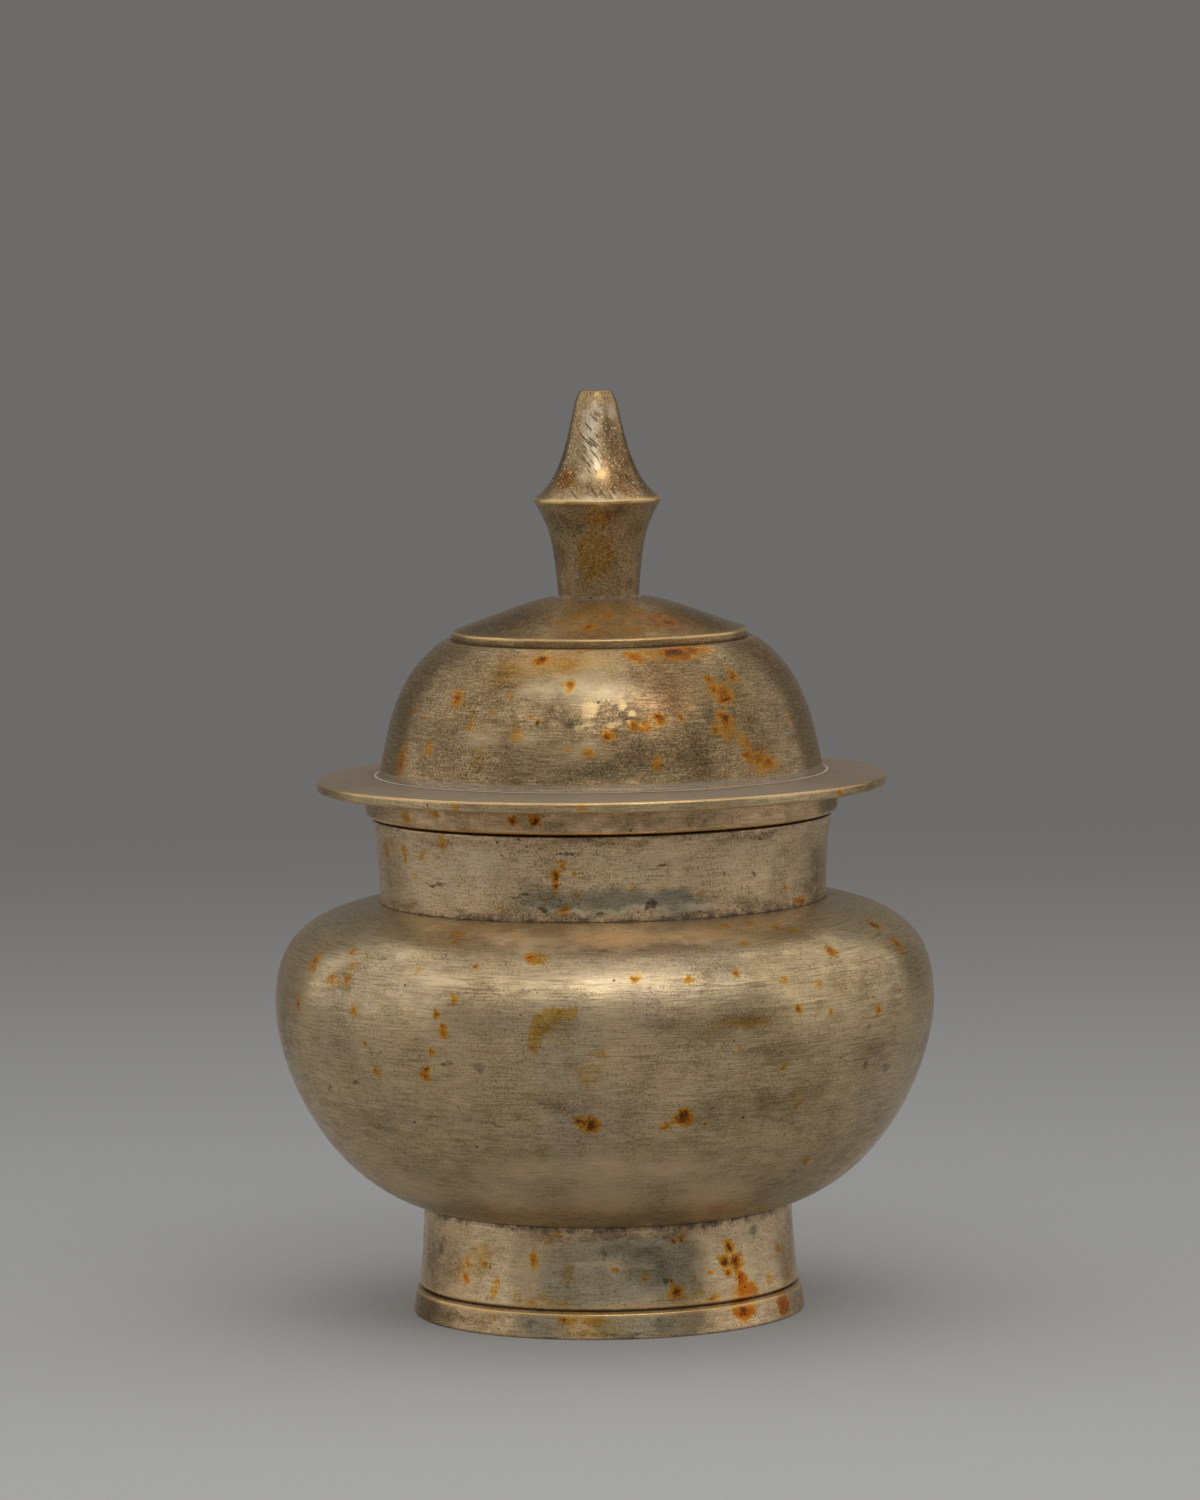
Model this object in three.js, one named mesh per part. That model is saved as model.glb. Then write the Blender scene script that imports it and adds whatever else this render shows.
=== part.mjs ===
// A small lidded offering pot of turned brass, built from its separate pieces.
// Units are millimetres, +Z is up, and the origin is the centre of the foot's underside.
import * as THREE from "three";

// How finely the turned surfaces are faceted
const TURN_SEGMENTS = 48;
const KNOB_SEGMENTS = 32;
const BELLY_STEPS = 8;
const WALL_STEPS = 6;
const EDGE_STEPS = 3;

// Fits between pieces
const BRAZE_GAP = 0.1; // between two brazed rings, one inside the other
const LID_SEAT_GAP = 0.3; // uneven dark line between the lid and the collar
const SPIGOT_CLEARANCE = 0.4; // round the lid's spigot in the mouth
const TANG_CLEARANCE = 0.2; // round the knob's tang in the cap and the washer

// Foot ring and the band round its lower edge
const FOOT_HEIGHT = 14.8;
const FOOT_TOP_RADIUS = 25;
const FOOT_SPREAD = 0.8; // how much wider the ring is just above the band
const FOOT_WALL = 1.7;
const FOOT_REBATE = 0.7; // depth of the step that holds the band
const FOOT_EDGE = 0.25; // bevel above the groove
const BAND_HEIGHT = 3.3; // floor to the band's outer top edge
const BAND_BEVEL = 0.3; // rise of the bevel on the band's top
const BAND_BEVEL_WIDTH = 0.5;
const BAND_GROOVE = 0.25; // open groove between the band and the foot's wall
const BAND_OVERHANG = 0.3; // band's top edge beyond the foot's wall
const BAND_SPREAD = 0.57; // how much wider the band is at the floor
const BAND_FLOOR_EDGE = 0.35; // bevel where the band meets the floor

// Belly
const BELLY_RADIUS = 44.72;
const UNDERSIDE_HEIGHT = 27.55; // foot to the widest place
const SHOULDER_HEIGHT = 13.85; // widest place to the collar
const BELLY_WALL = 1.8;
const FOOT_BOSS_DEPTH = 1; // underside's step that centres the foot ring
const MOUTH_LIP_HEIGHT = 2;
const MOUTH_LIP_WALL = 1.4;

// Neck collar
const NECK_FOOT_RADIUS = 30.25;
const NECK_HEIGHT = 11.4;
const NECK_FLARE = 1;
const NECK_WALL = 1.65;

// Lid: the ring that seats on the collar, the brim, the dome and its cap
const SEAT_RING_HEIGHT = 3.5;
const SEAT_RING_OVERHANG = 0.75; // beyond the collar's top
const SEAT_RING_ROUND = 0.8; // rounding of its lower corner
const SPIGOT_DEPTH = 5;
const SPIGOT_WALL = 1.6;
const BRIM_OVERHANG = 6.6; // beyond the seat ring
const BRIM_EDGE = 1.46; // thickness at the outer edge
const BRIM_ROUND = 0.45; // rounding of the two outer corners
const BRIM_RISE = 0.5; // from the outer edge up to the dome
const DOME_FOOT_RADIUS = 30.2;
const DOME_HEIGHT = 18.2;
const DOME_WALL = 1.5;
const CROWN_RADIUS = 21; // where the dome's side turns into its flat top
const CROWN_LEDGE = 4.5; // width of that flat top
const CAP_SETBACK = 0.95; // cap's lip inside the crown's edge
const CAP_LIP = 1.15;
const CAP_LIP_ROUND = 0.25;
const CAP_HEIGHT = 5.6;
const CAP_WALL = 1.8;
const CAP_BOSS_DEPTH = 1; // cap's step that centres it in the dome's hole
const CAP_BOSS_WALL = 1.5;

// Knob and what holds it
const STEM_FOOT_RADIUS = 5.48;
const STEM_HEIGHT = 12.75;
const RIM_RADIUS = 8.6;
const RIM_HEIGHT = 0.7;
const RIM_BEVEL = 0.15; // the rim's edge beyond the stem and the spire
const SPIRE_HEIGHT = 13.8;
const SPIRE_TOP_RADIUS = 2.48;
const SPIRE_TOP_BEVEL = 0.6;
const SPIRE_TOP_BEVEL_WIDTH = 0.3;
const TANG_RADIUS = 2;
const WASHER_WIDTH = 2.4;
const WASHER_THICKNESS = 1.2;
const RIVET_WIDTH = 1.2; // rivet head beyond the tang
const RIVET_HEIGHT = 1.2;

// How the bowed outlines leave their lower end and arrive at their upper end: shares across and up
const FOOT_BOW = [[0.6, 0.33], [0.8, 0.67]];
const UNDERSIDE_BOW = [[0.69, 0.143], [1, 0.71]];
const SHOULDER_BOW = [[0, 0.637], [0.28, 0.902]];
const NECK_BOW = [[0.29, 0.6], [0.1, 0.6]];
const DOME_BOW = [[0.147, 0.273], [0.175, 0.727]];
const CAP_BOW = [[0.535, 0.595], [0.744, 0.963]];
const STEM_BOW = [[0.2, 0.711], [0.485, 0.767]];
const SPIRE_BOW = [[0.767, 0.215], [0.819, 0.858]];

// Heights that the pieces share
const FOOT_TOP = FOOT_HEIGHT;
const WIDEST = FOOT_TOP + UNDERSIDE_HEIGHT;
const SHOULDER = WIDEST + SHOULDER_HEIGHT;
const NECK_TOP = SHOULDER + NECK_HEIGHT;
const LID_SEAT = NECK_TOP + LID_SEAT_GAP;
const BRIM_UNDERSIDE = LID_SEAT + SEAT_RING_HEIGHT;
const BRIM_EDGE_TOP = BRIM_UNDERSIDE + BRIM_EDGE;
const DOME_FOOT = BRIM_EDGE_TOP + BRIM_RISE;
const CROWN = DOME_FOOT + DOME_HEIGHT;
const CAP_TOP = CROWN + CAP_HEIGHT;
const WASHER_TOP = CAP_TOP - CAP_WALL;
const RIVET_TOP = WASHER_TOP - WASHER_THICKNESS;
const RIM_UNDERSIDE = CAP_TOP + STEM_HEIGHT;
const RIM_TOP = RIM_UNDERSIDE + RIM_HEIGHT;
const SPIRE_EDGE = RIM_TOP + SPIRE_HEIGHT;

// Radii that the pieces share
const FOOT_BORE = FOOT_TOP_RADIUS - FOOT_WALL;
const FOOT_LOW_RADIUS = FOOT_TOP_RADIUS + FOOT_SPREAD;
const REBATE_RADIUS = FOOT_LOW_RADIUS - FOOT_REBATE;
const NECK_BORE = NECK_FOOT_RADIUS - NECK_WALL;
const NECK_TOP_RADIUS = NECK_FOOT_RADIUS + NECK_FLARE;
const SEAT_RING_RADIUS = NECK_TOP_RADIUS + SEAT_RING_OVERHANG;
const SPIGOT_RADIUS = NECK_BORE - SPIGOT_CLEARANCE;
const SPIGOT_BORE = SPIGOT_RADIUS - SPIGOT_WALL;
const BRIM_RADIUS = SEAT_RING_RADIUS + BRIM_OVERHANG;
const BRIM_BORE = Math.min(SPIGOT_BORE, DOME_FOOT_RADIUS - DOME_WALL);
const CROWN_BORE = CROWN_RADIUS - CROWN_LEDGE;
const CAP_RADIUS = CROWN_RADIUS - CAP_SETBACK;
const CAP_BOSS_RADIUS = CROWN_BORE - BRAZE_GAP;
const CAP_BORE = CAP_BOSS_RADIUS - CAP_BOSS_WALL;
const TANG_HOLE = TANG_RADIUS + TANG_CLEARANCE;
const WASHER_RADIUS = TANG_HOLE + WASHER_WIDTH;

const point = (radius, height) => new THREE.Vector2(radius, height);

// A bowed line from a lower point to an upper one, with its two handles as shares of the way.
function bow(start, end, [leaving, arriving]) {
  const handle = ([across, up]) =>
    point(
      THREE.MathUtils.lerp(start.x, end.x, across),
      THREE.MathUtils.lerp(start.y, end.y, up),
    );
  return new THREE.CubicBezierCurve(start, handle(leaving), handle(arriving), end);
}

// A corner rounded from one point to another, about the corner that a square edge would have.
function rounded(start, corner, end) {
  return new THREE.QuadraticBezierCurve(start, corner, end).getPoints(EDGE_STEPS);
}

// Points one wall inside an outer curve that runs upwards, kept between two heights.
function innerWall(outer, wall, lowest, highest) {
  return Array.from({ length: WALL_STEPS + 1 }, (_, step) => {
    const place = outer.getPoint(step / WALL_STEPS);
    const along = outer.getTangent(step / WALL_STEPS);
    const height = THREE.MathUtils.clamp(place.y + wall * along.x, lowest, highest);
    return point(place.x - wall * along.y, height);
  });
}

// A turned piece: its outline, counter-clockwise in (radius, height), is spun about the Z axis.
function turned(name, finish, outline, segments = TURN_SEGMENTS) {
  const startsOnAxis = outline[0].x === 0;
  const profile = startsOnAxis ? outline : [...outline, outline[0]];
  const geometry = new THREE.LatheGeometry(profile, segments);
  geometry.rotateX(Math.PI / 2);
  const mesh = new THREE.Mesh(geometry, finish);
  mesh.name = name;
  return mesh;
}

// Finishes
const potBrass = new THREE.MeshStandardMaterial({ color: 0x9b8f70, roughness: 0.42, metalness: 1 });
const lidBrass = new THREE.MeshStandardMaterial({ color: 0x94815c, roughness: 0.4, metalness: 1 });
const knobBrass = new THREE.MeshStandardMaterial({ color: 0x8a7658, roughness: 0.46, metalness: 1 });
const bareBrass = new THREE.MeshStandardMaterial({ color: 0x8c7a4f, roughness: 0.6, metalness: 1 });

function footRing() {
  const wallFoot = point(FOOT_LOW_RADIUS, BAND_HEIGHT + BAND_BEVEL + BAND_GROOVE + FOOT_EDGE);
  const wall = bow(wallFoot, point(FOOT_TOP_RADIUS, FOOT_TOP), FOOT_BOW);
  const rebateTop = wallFoot.y - FOOT_EDGE;
  return turned("foot_ring", potBrass, [
    point(FOOT_BORE, 0),
    point(REBATE_RADIUS, 0),
    point(REBATE_RADIUS, rebateTop),
    point(FOOT_LOW_RADIUS - FOOT_EDGE, rebateTop),
    ...wall.getPoints(WALL_STEPS),
    point(FOOT_BORE, FOOT_TOP),
  ]);
}

function baseBand() {
  const bore = REBATE_RADIUS + BRAZE_GAP;
  const topRadius = FOOT_LOW_RADIUS + BAND_OVERHANG;
  const floorRadius = topRadius + BAND_SPREAD;
  const top = BAND_HEIGHT + BAND_BEVEL;
  return turned("base_band", potBrass, [
    point(bore, 0),
    ...rounded(
      point(floorRadius - BAND_FLOOR_EDGE, 0),
      point(floorRadius, 0),
      point(floorRadius, BAND_FLOOR_EDGE),
    ),
    point(topRadius, BAND_HEIGHT),
    point(topRadius - BAND_BEVEL_WIDTH, top),
    point(bore, top),
  ]);
}

function belly() {
  const widest = point(BELLY_RADIUS, WIDEST);
  const seatEdge = point(FOOT_TOP_RADIUS, FOOT_TOP);
  const shoulderEdge = point(NECK_FOOT_RADIUS, SHOULDER);
  const underside = bow(seatEdge, widest, UNDERSIDE_BOW);
  const shoulder = bow(widest, shoulderEdge, SHOULDER_BOW);
  const bossRadius = FOOT_BORE - BRAZE_GAP;
  const floor = FOOT_TOP + BELLY_WALL;
  const ceiling = SHOULDER - BELLY_WALL;
  const lipRadius = NECK_BORE - BRAZE_GAP;
  const mouthRadius = lipRadius - MOUTH_LIP_WALL;
  const lipTop = SHOULDER + MOUTH_LIP_HEIGHT;
  const inside = [
    ...innerWall(underside, BELLY_WALL, floor, ceiling),
    ...innerWall(shoulder, BELLY_WALL, floor, ceiling).slice(1),
  ];
  return turned("belly", potBrass, [
    point(0, FOOT_TOP - FOOT_BOSS_DEPTH),
    point(bossRadius, FOOT_TOP - FOOT_BOSS_DEPTH),
    point(bossRadius, FOOT_TOP),
    ...underside.getPoints(BELLY_STEPS),
    ...shoulder.getPoints(BELLY_STEPS).slice(1),
    point(lipRadius, SHOULDER),
    point(lipRadius, lipTop),
    point(mouthRadius, lipTop),
    point(mouthRadius, ceiling),
    ...inside.reverse(),
    point(0, floor),
  ]);
}

function neckCollar() {
  const wallTop = point(NECK_TOP_RADIUS, NECK_TOP);
  const wall = bow(point(NECK_FOOT_RADIUS, SHOULDER), wallTop, NECK_BOW);
  return turned("neck_collar", potBrass, [
    point(NECK_BORE, SHOULDER),
    ...wall.getPoints(WALL_STEPS),
    point(NECK_BORE, NECK_TOP),
  ]);
}

function lidSeatRing() {
  const spigotEnd = LID_SEAT - SPIGOT_DEPTH;
  return turned("lid_seat_ring", lidBrass, [
    point(SPIGOT_BORE, spigotEnd),
    point(SPIGOT_RADIUS, spigotEnd),
    point(SPIGOT_RADIUS, LID_SEAT),
    ...rounded(
      point(SEAT_RING_RADIUS - SEAT_RING_ROUND, LID_SEAT),
      point(SEAT_RING_RADIUS, LID_SEAT),
      point(SEAT_RING_RADIUS, LID_SEAT + SEAT_RING_ROUND),
    ),
    point(SEAT_RING_RADIUS, BRIM_UNDERSIDE),
    point(SPIGOT_BORE, BRIM_UNDERSIDE),
  ]);
}

function lidBrim() {
  return turned("lid_brim", lidBrass, [
    point(BRIM_BORE, BRIM_UNDERSIDE),
    ...rounded(
      point(BRIM_RADIUS - BRIM_ROUND, BRIM_UNDERSIDE),
      point(BRIM_RADIUS, BRIM_UNDERSIDE),
      point(BRIM_RADIUS, BRIM_UNDERSIDE + BRIM_ROUND),
    ),
    ...rounded(
      point(BRIM_RADIUS, BRIM_EDGE_TOP - BRIM_ROUND),
      point(BRIM_RADIUS, BRIM_EDGE_TOP),
      point(BRIM_RADIUS - BRIM_ROUND, BRIM_EDGE_TOP),
    ),
    point(DOME_FOOT_RADIUS, DOME_FOOT),
    point(BRIM_BORE, DOME_FOOT),
  ]);
}

function lidDome() {
  const crownEdge = point(CROWN_RADIUS, CROWN);
  const side = bow(point(DOME_FOOT_RADIUS, DOME_FOOT), crownEdge, DOME_BOW);
  const crownUnderside = CROWN - DOME_WALL;
  return turned("lid_dome", lidBrass, [
    ...side.getPoints(BELLY_STEPS),
    point(CROWN_BORE, CROWN),
    point(CROWN_BORE, crownUnderside),
    ...innerWall(side, DOME_WALL, DOME_FOOT, crownUnderside).reverse(),
  ]);
}

function lidCap() {
  const padEdge = point(STEM_FOOT_RADIUS, CAP_TOP);
  const lipTop = point(CAP_RADIUS - CAP_LIP_ROUND, CROWN + CAP_LIP);
  const slope = bow(lipTop, padEdge, CAP_BOW);
  const bossEnd = CROWN - CAP_BOSS_DEPTH;
  const hollow = innerWall(slope, CAP_WALL, bossEnd, WASHER_TOP).filter(
    (place) => place.x < CAP_BORE && place.x > WASHER_RADIUS,
  );
  return turned("lid_cap", lidBrass, [
    point(CAP_BORE, bossEnd),
    point(CAP_BOSS_RADIUS, bossEnd),
    point(CAP_BOSS_RADIUS, CROWN),
    point(CAP_RADIUS, CROWN),
    ...rounded(
      point(CAP_RADIUS, lipTop.y - CAP_LIP_ROUND),
      point(CAP_RADIUS, lipTop.y),
      lipTop,
    ),
    ...slope.getPoints(WALL_STEPS).slice(1),
    point(TANG_HOLE, CAP_TOP),
    point(TANG_HOLE, WASHER_TOP),
    point(WASHER_RADIUS, WASHER_TOP),
    ...hollow.reverse(),
    point(CAP_BORE, CROWN),
  ]);
}

function tangWasher() {
  const outline = [
    point(TANG_HOLE, RIVET_TOP),
    point(WASHER_RADIUS, RIVET_TOP),
    point(WASHER_RADIUS, WASHER_TOP),
    point(TANG_HOLE, WASHER_TOP),
  ];
  return turned("tang_washer", bareBrass, outline, KNOB_SEGMENTS);
}

function finial() {
  const rivetRadius = TANG_RADIUS + RIVET_WIDTH;
  const stemTop = point(RIM_RADIUS - RIM_BEVEL, RIM_UNDERSIDE);
  const stem = bow(point(STEM_FOOT_RADIUS, CAP_TOP), stemTop, STEM_BOW);
  const spireFoot = point(RIM_RADIUS - RIM_BEVEL, RIM_TOP);
  const spireEdge = point(SPIRE_TOP_RADIUS, SPIRE_EDGE);
  const spire = bow(spireFoot, spireEdge, SPIRE_BOW);
  const rivetEnd = RIVET_TOP - RIVET_HEIGHT;
  const outline = [
    ...rounded(point(0, rivetEnd), point(rivetRadius, rivetEnd), point(rivetRadius, RIVET_TOP)),
    point(TANG_RADIUS, RIVET_TOP),
    point(TANG_RADIUS, CAP_TOP),
    ...stem.getPoints(BELLY_STEPS),
    point(RIM_RADIUS, RIM_UNDERSIDE + RIM_BEVEL),
    point(RIM_RADIUS, RIM_TOP - RIM_BEVEL),
    ...spire.getPoints(BELLY_STEPS),
    point(SPIRE_TOP_RADIUS - SPIRE_TOP_BEVEL_WIDTH, SPIRE_EDGE + SPIRE_TOP_BEVEL),
    point(0, SPIRE_EDGE + SPIRE_TOP_BEVEL),
  ];
  return turned("finial", knobBrass, outline, KNOB_SEGMENTS);
}

const pot = new THREE.Group();
pot.add(footRing(), baseBand(), belly(), neckCollar());

const lid = new THREE.Group();
lid.add(lidSeatRing(), lidBrim(), lidDome(), lidCap(), tangWasher(), finial());

const offeringPot = new THREE.Group();
offeringPot.add(pot, lid);

export default offeringPot;
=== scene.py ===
import math
import random
from dataclasses import dataclass, field

import bpy
import numpy as np
from mathutils import Euler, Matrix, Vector


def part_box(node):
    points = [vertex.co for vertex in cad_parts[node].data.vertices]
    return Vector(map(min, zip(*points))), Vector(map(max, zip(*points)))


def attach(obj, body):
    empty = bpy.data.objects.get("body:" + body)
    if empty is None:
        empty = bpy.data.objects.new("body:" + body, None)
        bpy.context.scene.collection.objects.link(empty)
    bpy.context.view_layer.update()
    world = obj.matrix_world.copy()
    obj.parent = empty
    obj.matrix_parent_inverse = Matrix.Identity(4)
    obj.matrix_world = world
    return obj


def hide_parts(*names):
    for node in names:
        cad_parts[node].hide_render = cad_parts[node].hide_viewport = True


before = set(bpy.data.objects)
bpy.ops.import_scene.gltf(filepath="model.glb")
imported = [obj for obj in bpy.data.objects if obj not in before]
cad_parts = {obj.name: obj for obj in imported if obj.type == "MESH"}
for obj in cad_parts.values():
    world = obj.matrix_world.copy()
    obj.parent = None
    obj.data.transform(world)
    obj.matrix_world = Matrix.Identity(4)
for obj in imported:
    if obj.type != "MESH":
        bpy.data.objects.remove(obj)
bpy.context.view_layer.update()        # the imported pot: its bodies, nodes, joints and record

bl_info = {
    "name": "Offering pot",
    "version": (1, 0, 0),
    "blender": (4, 5, 0),
    "location": "View3D > Sidebar > Offering pot",
    "description": "Builds a small lidded pot of aged, turned brass and the studio round it",
    "category": "Add Mesh",
}

MM = 0.001

# How finely the turned pieces are made
ROUND_STEPS = 288
KNOB_STEPS = 160
OUTLINE_STEP = 0.55 * MM
BOW_SLACK = 1.2  # how much longer a bowed line may be than a straight one
CORNER_STEPS = 6
UNDERSIDE_STEPS = 72
SHOULDER_STEPS = 48
DOME_STEPS = 60
CAP_STEPS = 40
LEVEL_LIMIT = 1e-9  # rise under which a step of an outline counts as level
MOUTH_CLEARANCE = 0.5 * MM  # between the mouth and the inner wall's first point

# The lathe's core, a small ring that each outline is swept round, and hand-made unevenness
LATHE_CORE = 0.5 * MM
WELD_DISTANCE = LATHE_CORE / 500
UNEVENNESS = 0.03 * MM
KNOB_UNEVENNESS = 0.02 * MM
WAVES_PER_METRE = 38.0

# How far wear, grime, soil and dust reach along the outline from their corner
MARKS = {"worn": 0.28 * MM, "grime": 0.36 * MM, "soil": 1.0 * MM, "dust": 0.36 * MM}

# Bowed outlines: shares across and up at which each leaves its lower end and arrives at its upper end
FOOT_BOW = ((0.6, 0.33), (0.8, 0.67))
UNDERSIDE_BOW = ((0.69, 0.143), (1.0, 0.71))
SHOULDER_BOW = ((0.0, 0.637), (0.28, 0.902))
NECK_BOW = ((0.29, 0.6), (0.1, 0.6))
DOME_BOW = ((0.147, 0.273), (0.175, 0.727))
CAP_BOW = ((0.535, 0.595), (0.744, 0.963))
STEM_BOW = ((0.2, 0.711), (0.485, 0.767))
SPIRE_BOW = ((0.767, 0.215), (0.819, 0.858))
ROUND_BOW = ((0.55, 0.0), (1.0, 0.45))


# Heights and radii that the frame gives
def lowest(node):
    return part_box(node)[0].z


def highest(node):
    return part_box(node)[1].z


def widest(node):
    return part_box(node)[1].x


# Kinds of property
def length(name, size, description):
    """A size in metres."""
    return bpy.props.FloatProperty(
        name=name, description=description, default=size, min=0.0, precision=5, unit="LENGTH"
    )


def tint(name, value, description):
    """A colour, in linear light."""
    return bpy.props.FloatVectorProperty(
        name=name, description=description, default=value, min=0.0, max=1.0, size=3, subtype="COLOR"
    )


def number(name, value, description):
    """A plain number."""
    return bpy.props.FloatProperty(name=name, description=description, default=value, min=0.0)


class PotFootSizes(bpy.types.PropertyGroup):
    """Sizes of the foot ring and of the band round its lower edge"""

    top: length("Top", highest("foot_ring"), "Height of the foot's top, where the belly sits")
    top_radius: length("Top radius", 25 * MM, "Radius of the foot's top")
    low_radius: length("Low radius", widest("foot_ring"), "Radius just above the band")
    wall: length("Wall", 1.7 * MM, "Thickness of the ring at its top")
    rebate: length("Rebate", 0.7 * MM, "Depth of the step that holds the band")
    edge: length("Edge", 0.25 * MM, "Bevel above the groove")
    groove: length("Groove", 0.25 * MM, "Open groove between the band and the wall")
    band_radius: length("Band radius", widest("base_band"), "Radius of the band at the floor")
    band_top: length("Band top", highest("base_band"), "Height of the band")
    band_spread: length("Band spread", 0.57 * MM, "How much wider the band is at the floor")
    band_bevel: length("Band bevel", 0.3 * MM, "Rise of the bevel on the band's top")
    band_bevel_width: length("Band bevel width", 0.5 * MM, "Width of the bevel on the band's top")
    band_gap: length("Band gap", 0.1 * MM, "Brazing gap behind the band")
    floor_edge: length("Floor edge", 0.35 * MM, "Rounding where the band meets the floor")


class PotBellySizes(bpy.types.PropertyGroup):
    """Sizes of the belly and the neck collar"""

    radius: length("Radius", widest("belly"), "Radius at the widest place")
    widest_height: length("Widest height", 42.35 * MM, "Height of the widest place")
    boss_underside: length("Boss underside", lowest("belly"), "Height of the boss inside the foot")
    boss_gap: length("Boss gap", 0.1 * MM, "Brazing gap round the boss")
    wall: length("Wall", 1.8 * MM, "Thickness of the belly")
    lip_top: length("Lip top", highest("belly"), "Height of the lip round the mouth")
    lip_wall: length("Lip wall", 1.4 * MM, "Thickness of that lip")
    lip_gap: length("Lip gap", 0.1 * MM, "Brazing gap between the lip and the collar")
    shoulder: length("Shoulder", lowest("neck_collar"), "Height at which the collar stands")
    neck_radius: length("Neck radius", 30.25 * MM, "Radius of the collar's foot")
    neck_top: length("Neck top", highest("neck_collar"), "Height of the collar's top")
    neck_top_radius: length("Neck top radius", widest("neck_collar"), "Radius of the collar's top")
    neck_wall: length("Neck wall", 1.65 * MM, "Thickness of the collar at its foot")
    rim_round: length("Rim round", 0.25 * MM, "Rounding of the collar's top edges")


class PotLidSizes(bpy.types.PropertyGroup):
    """Sizes of the lid's seat ring, brim, dome and cap"""

    seat: length("Lid rest", 67.9 * MM, "Height of the face that rests on the collar")
    ring_radius: length("Ring radius", widest("lid_seat_ring"), "Radius of the seat ring")
    ring_round: length("Ring round", 0.8 * MM, "Rounding of the ring's lower corner")
    spigot_end: length("Spigot end", lowest("lid_seat_ring"), "Height of the spigot's lower end")
    spigot_radius: length("Spigot radius", 28.2 * MM, "Radius of the spigot")
    spigot_wall: length("Spigot wall", 1.6 * MM, "Thickness of the spigot")
    spigot_round: length("Spigot round", 0.35 * MM, "Rounding of the spigot's end")
    brim_underside: length("Brim underside", lowest("lid_brim"), "Height of the brim's underside")
    brim_radius: length("Brim radius", widest("lid_brim"), "Radius of the brim")
    brim_edge: length("Brim edge", 1.46 * MM, "Thickness at the brim's outer edge")
    brim_round: length("Brim round", 0.42 * MM, "Rounding of the brim's outer corners")
    dome_foot: length("Dome foot", lowest("lid_dome"), "Height at which the dome stands")
    dome_radius: length("Dome radius", widest("lid_dome"), "Radius of the dome's foot")
    dome_wall: length("Dome wall", 1.5 * MM, "Thickness of the dome")
    dome_fillet: length("Dome fillet", 0.6 * MM, "Brazed fillet between the dome and the brim")
    crown: length("Dome top", highest("lid_dome"), "Height of the dome's flat top")
    crown_radius: length("Dome top radius", 21 * MM, "Where the side turns into the flat top")
    crown_round: length("Dome top round", 0.4 * MM, "Rounding of that edge")
    crown_bore: length("Dome top bore", 16.5 * MM, "Radius of the hole that the cap closes")
    cap_radius: length("Cap radius", widest("lid_cap"), "Radius of the cap's lip")
    cap_lip: length("Cap lip", 1.15 * MM, "Height of the cap's lip")
    cap_round: length("Cap round", 0.25 * MM, "Rounding of the lip's upper edge")
    cap_top: length("Cap top", highest("lid_cap"), "Height at which the knob stands")
    cap_wall: length("Cap wall", 1.8 * MM, "Thickness of the cap under the knob")
    boss_end: length("Boss end", lowest("lid_cap"), "Height of the cap's boss in the dome")
    boss_wall: length("Boss wall", 1.5 * MM, "Thickness of that boss")
    boss_gap: length("Boss gap", 0.1 * MM, "Brazing gap round that boss")


class PotKnobSizes(bpy.types.PropertyGroup):
    """Sizes of the knob and of the washer that it is riveted over"""

    stem_radius: length("Stem radius", 5.48 * MM, "Radius of the stem's foot")
    rim_radius: length("Rim radius", widest("finial"), "Radius of the rim")
    rim_underside: length("Rim underside", 109.91 * MM, "Height of the rim's lower edge")
    rim_height: length("Rim height", 0.7 * MM, "Height of the rim's edge")
    rim_bevel: length("Rim bevel", 0.15 * MM, "Bevel of the rim's two edges")
    top: length("Top", highest("finial"), "Height of the spire's flat end")
    spire_radius: length("Spire radius", 2.48 * MM, "Radius of the spire's upper end")
    spire_bevel: length("Spire bevel", 0.6 * MM, "Height of the bevel at the spire's end")
    spire_bevel_width: length("Spire bevel width", 0.3 * MM, "Width of that bevel")
    tang_radius: length("Tang radius", 2 * MM, "Radius of the tang through the cap")
    tang_hole: length("Tang hole", 2.2 * MM, "Radius of the holes for the tang")
    washer_radius: length("Washer radius", widest("tang_washer"), "Radius of the washer")
    washer_underside: length("Washer underside", lowest("tang_washer"), "Height of its underside")
    washer_top: length("Washer top", highest("tang_washer"), "Height of its top")
    rivet_end: length("Rivet end", lowest("finial"), "Height of the rivet head's lower end")
    rivet_radius: length("Rivet radius", 3.2 * MM, "Radius of the rivet head")


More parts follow.
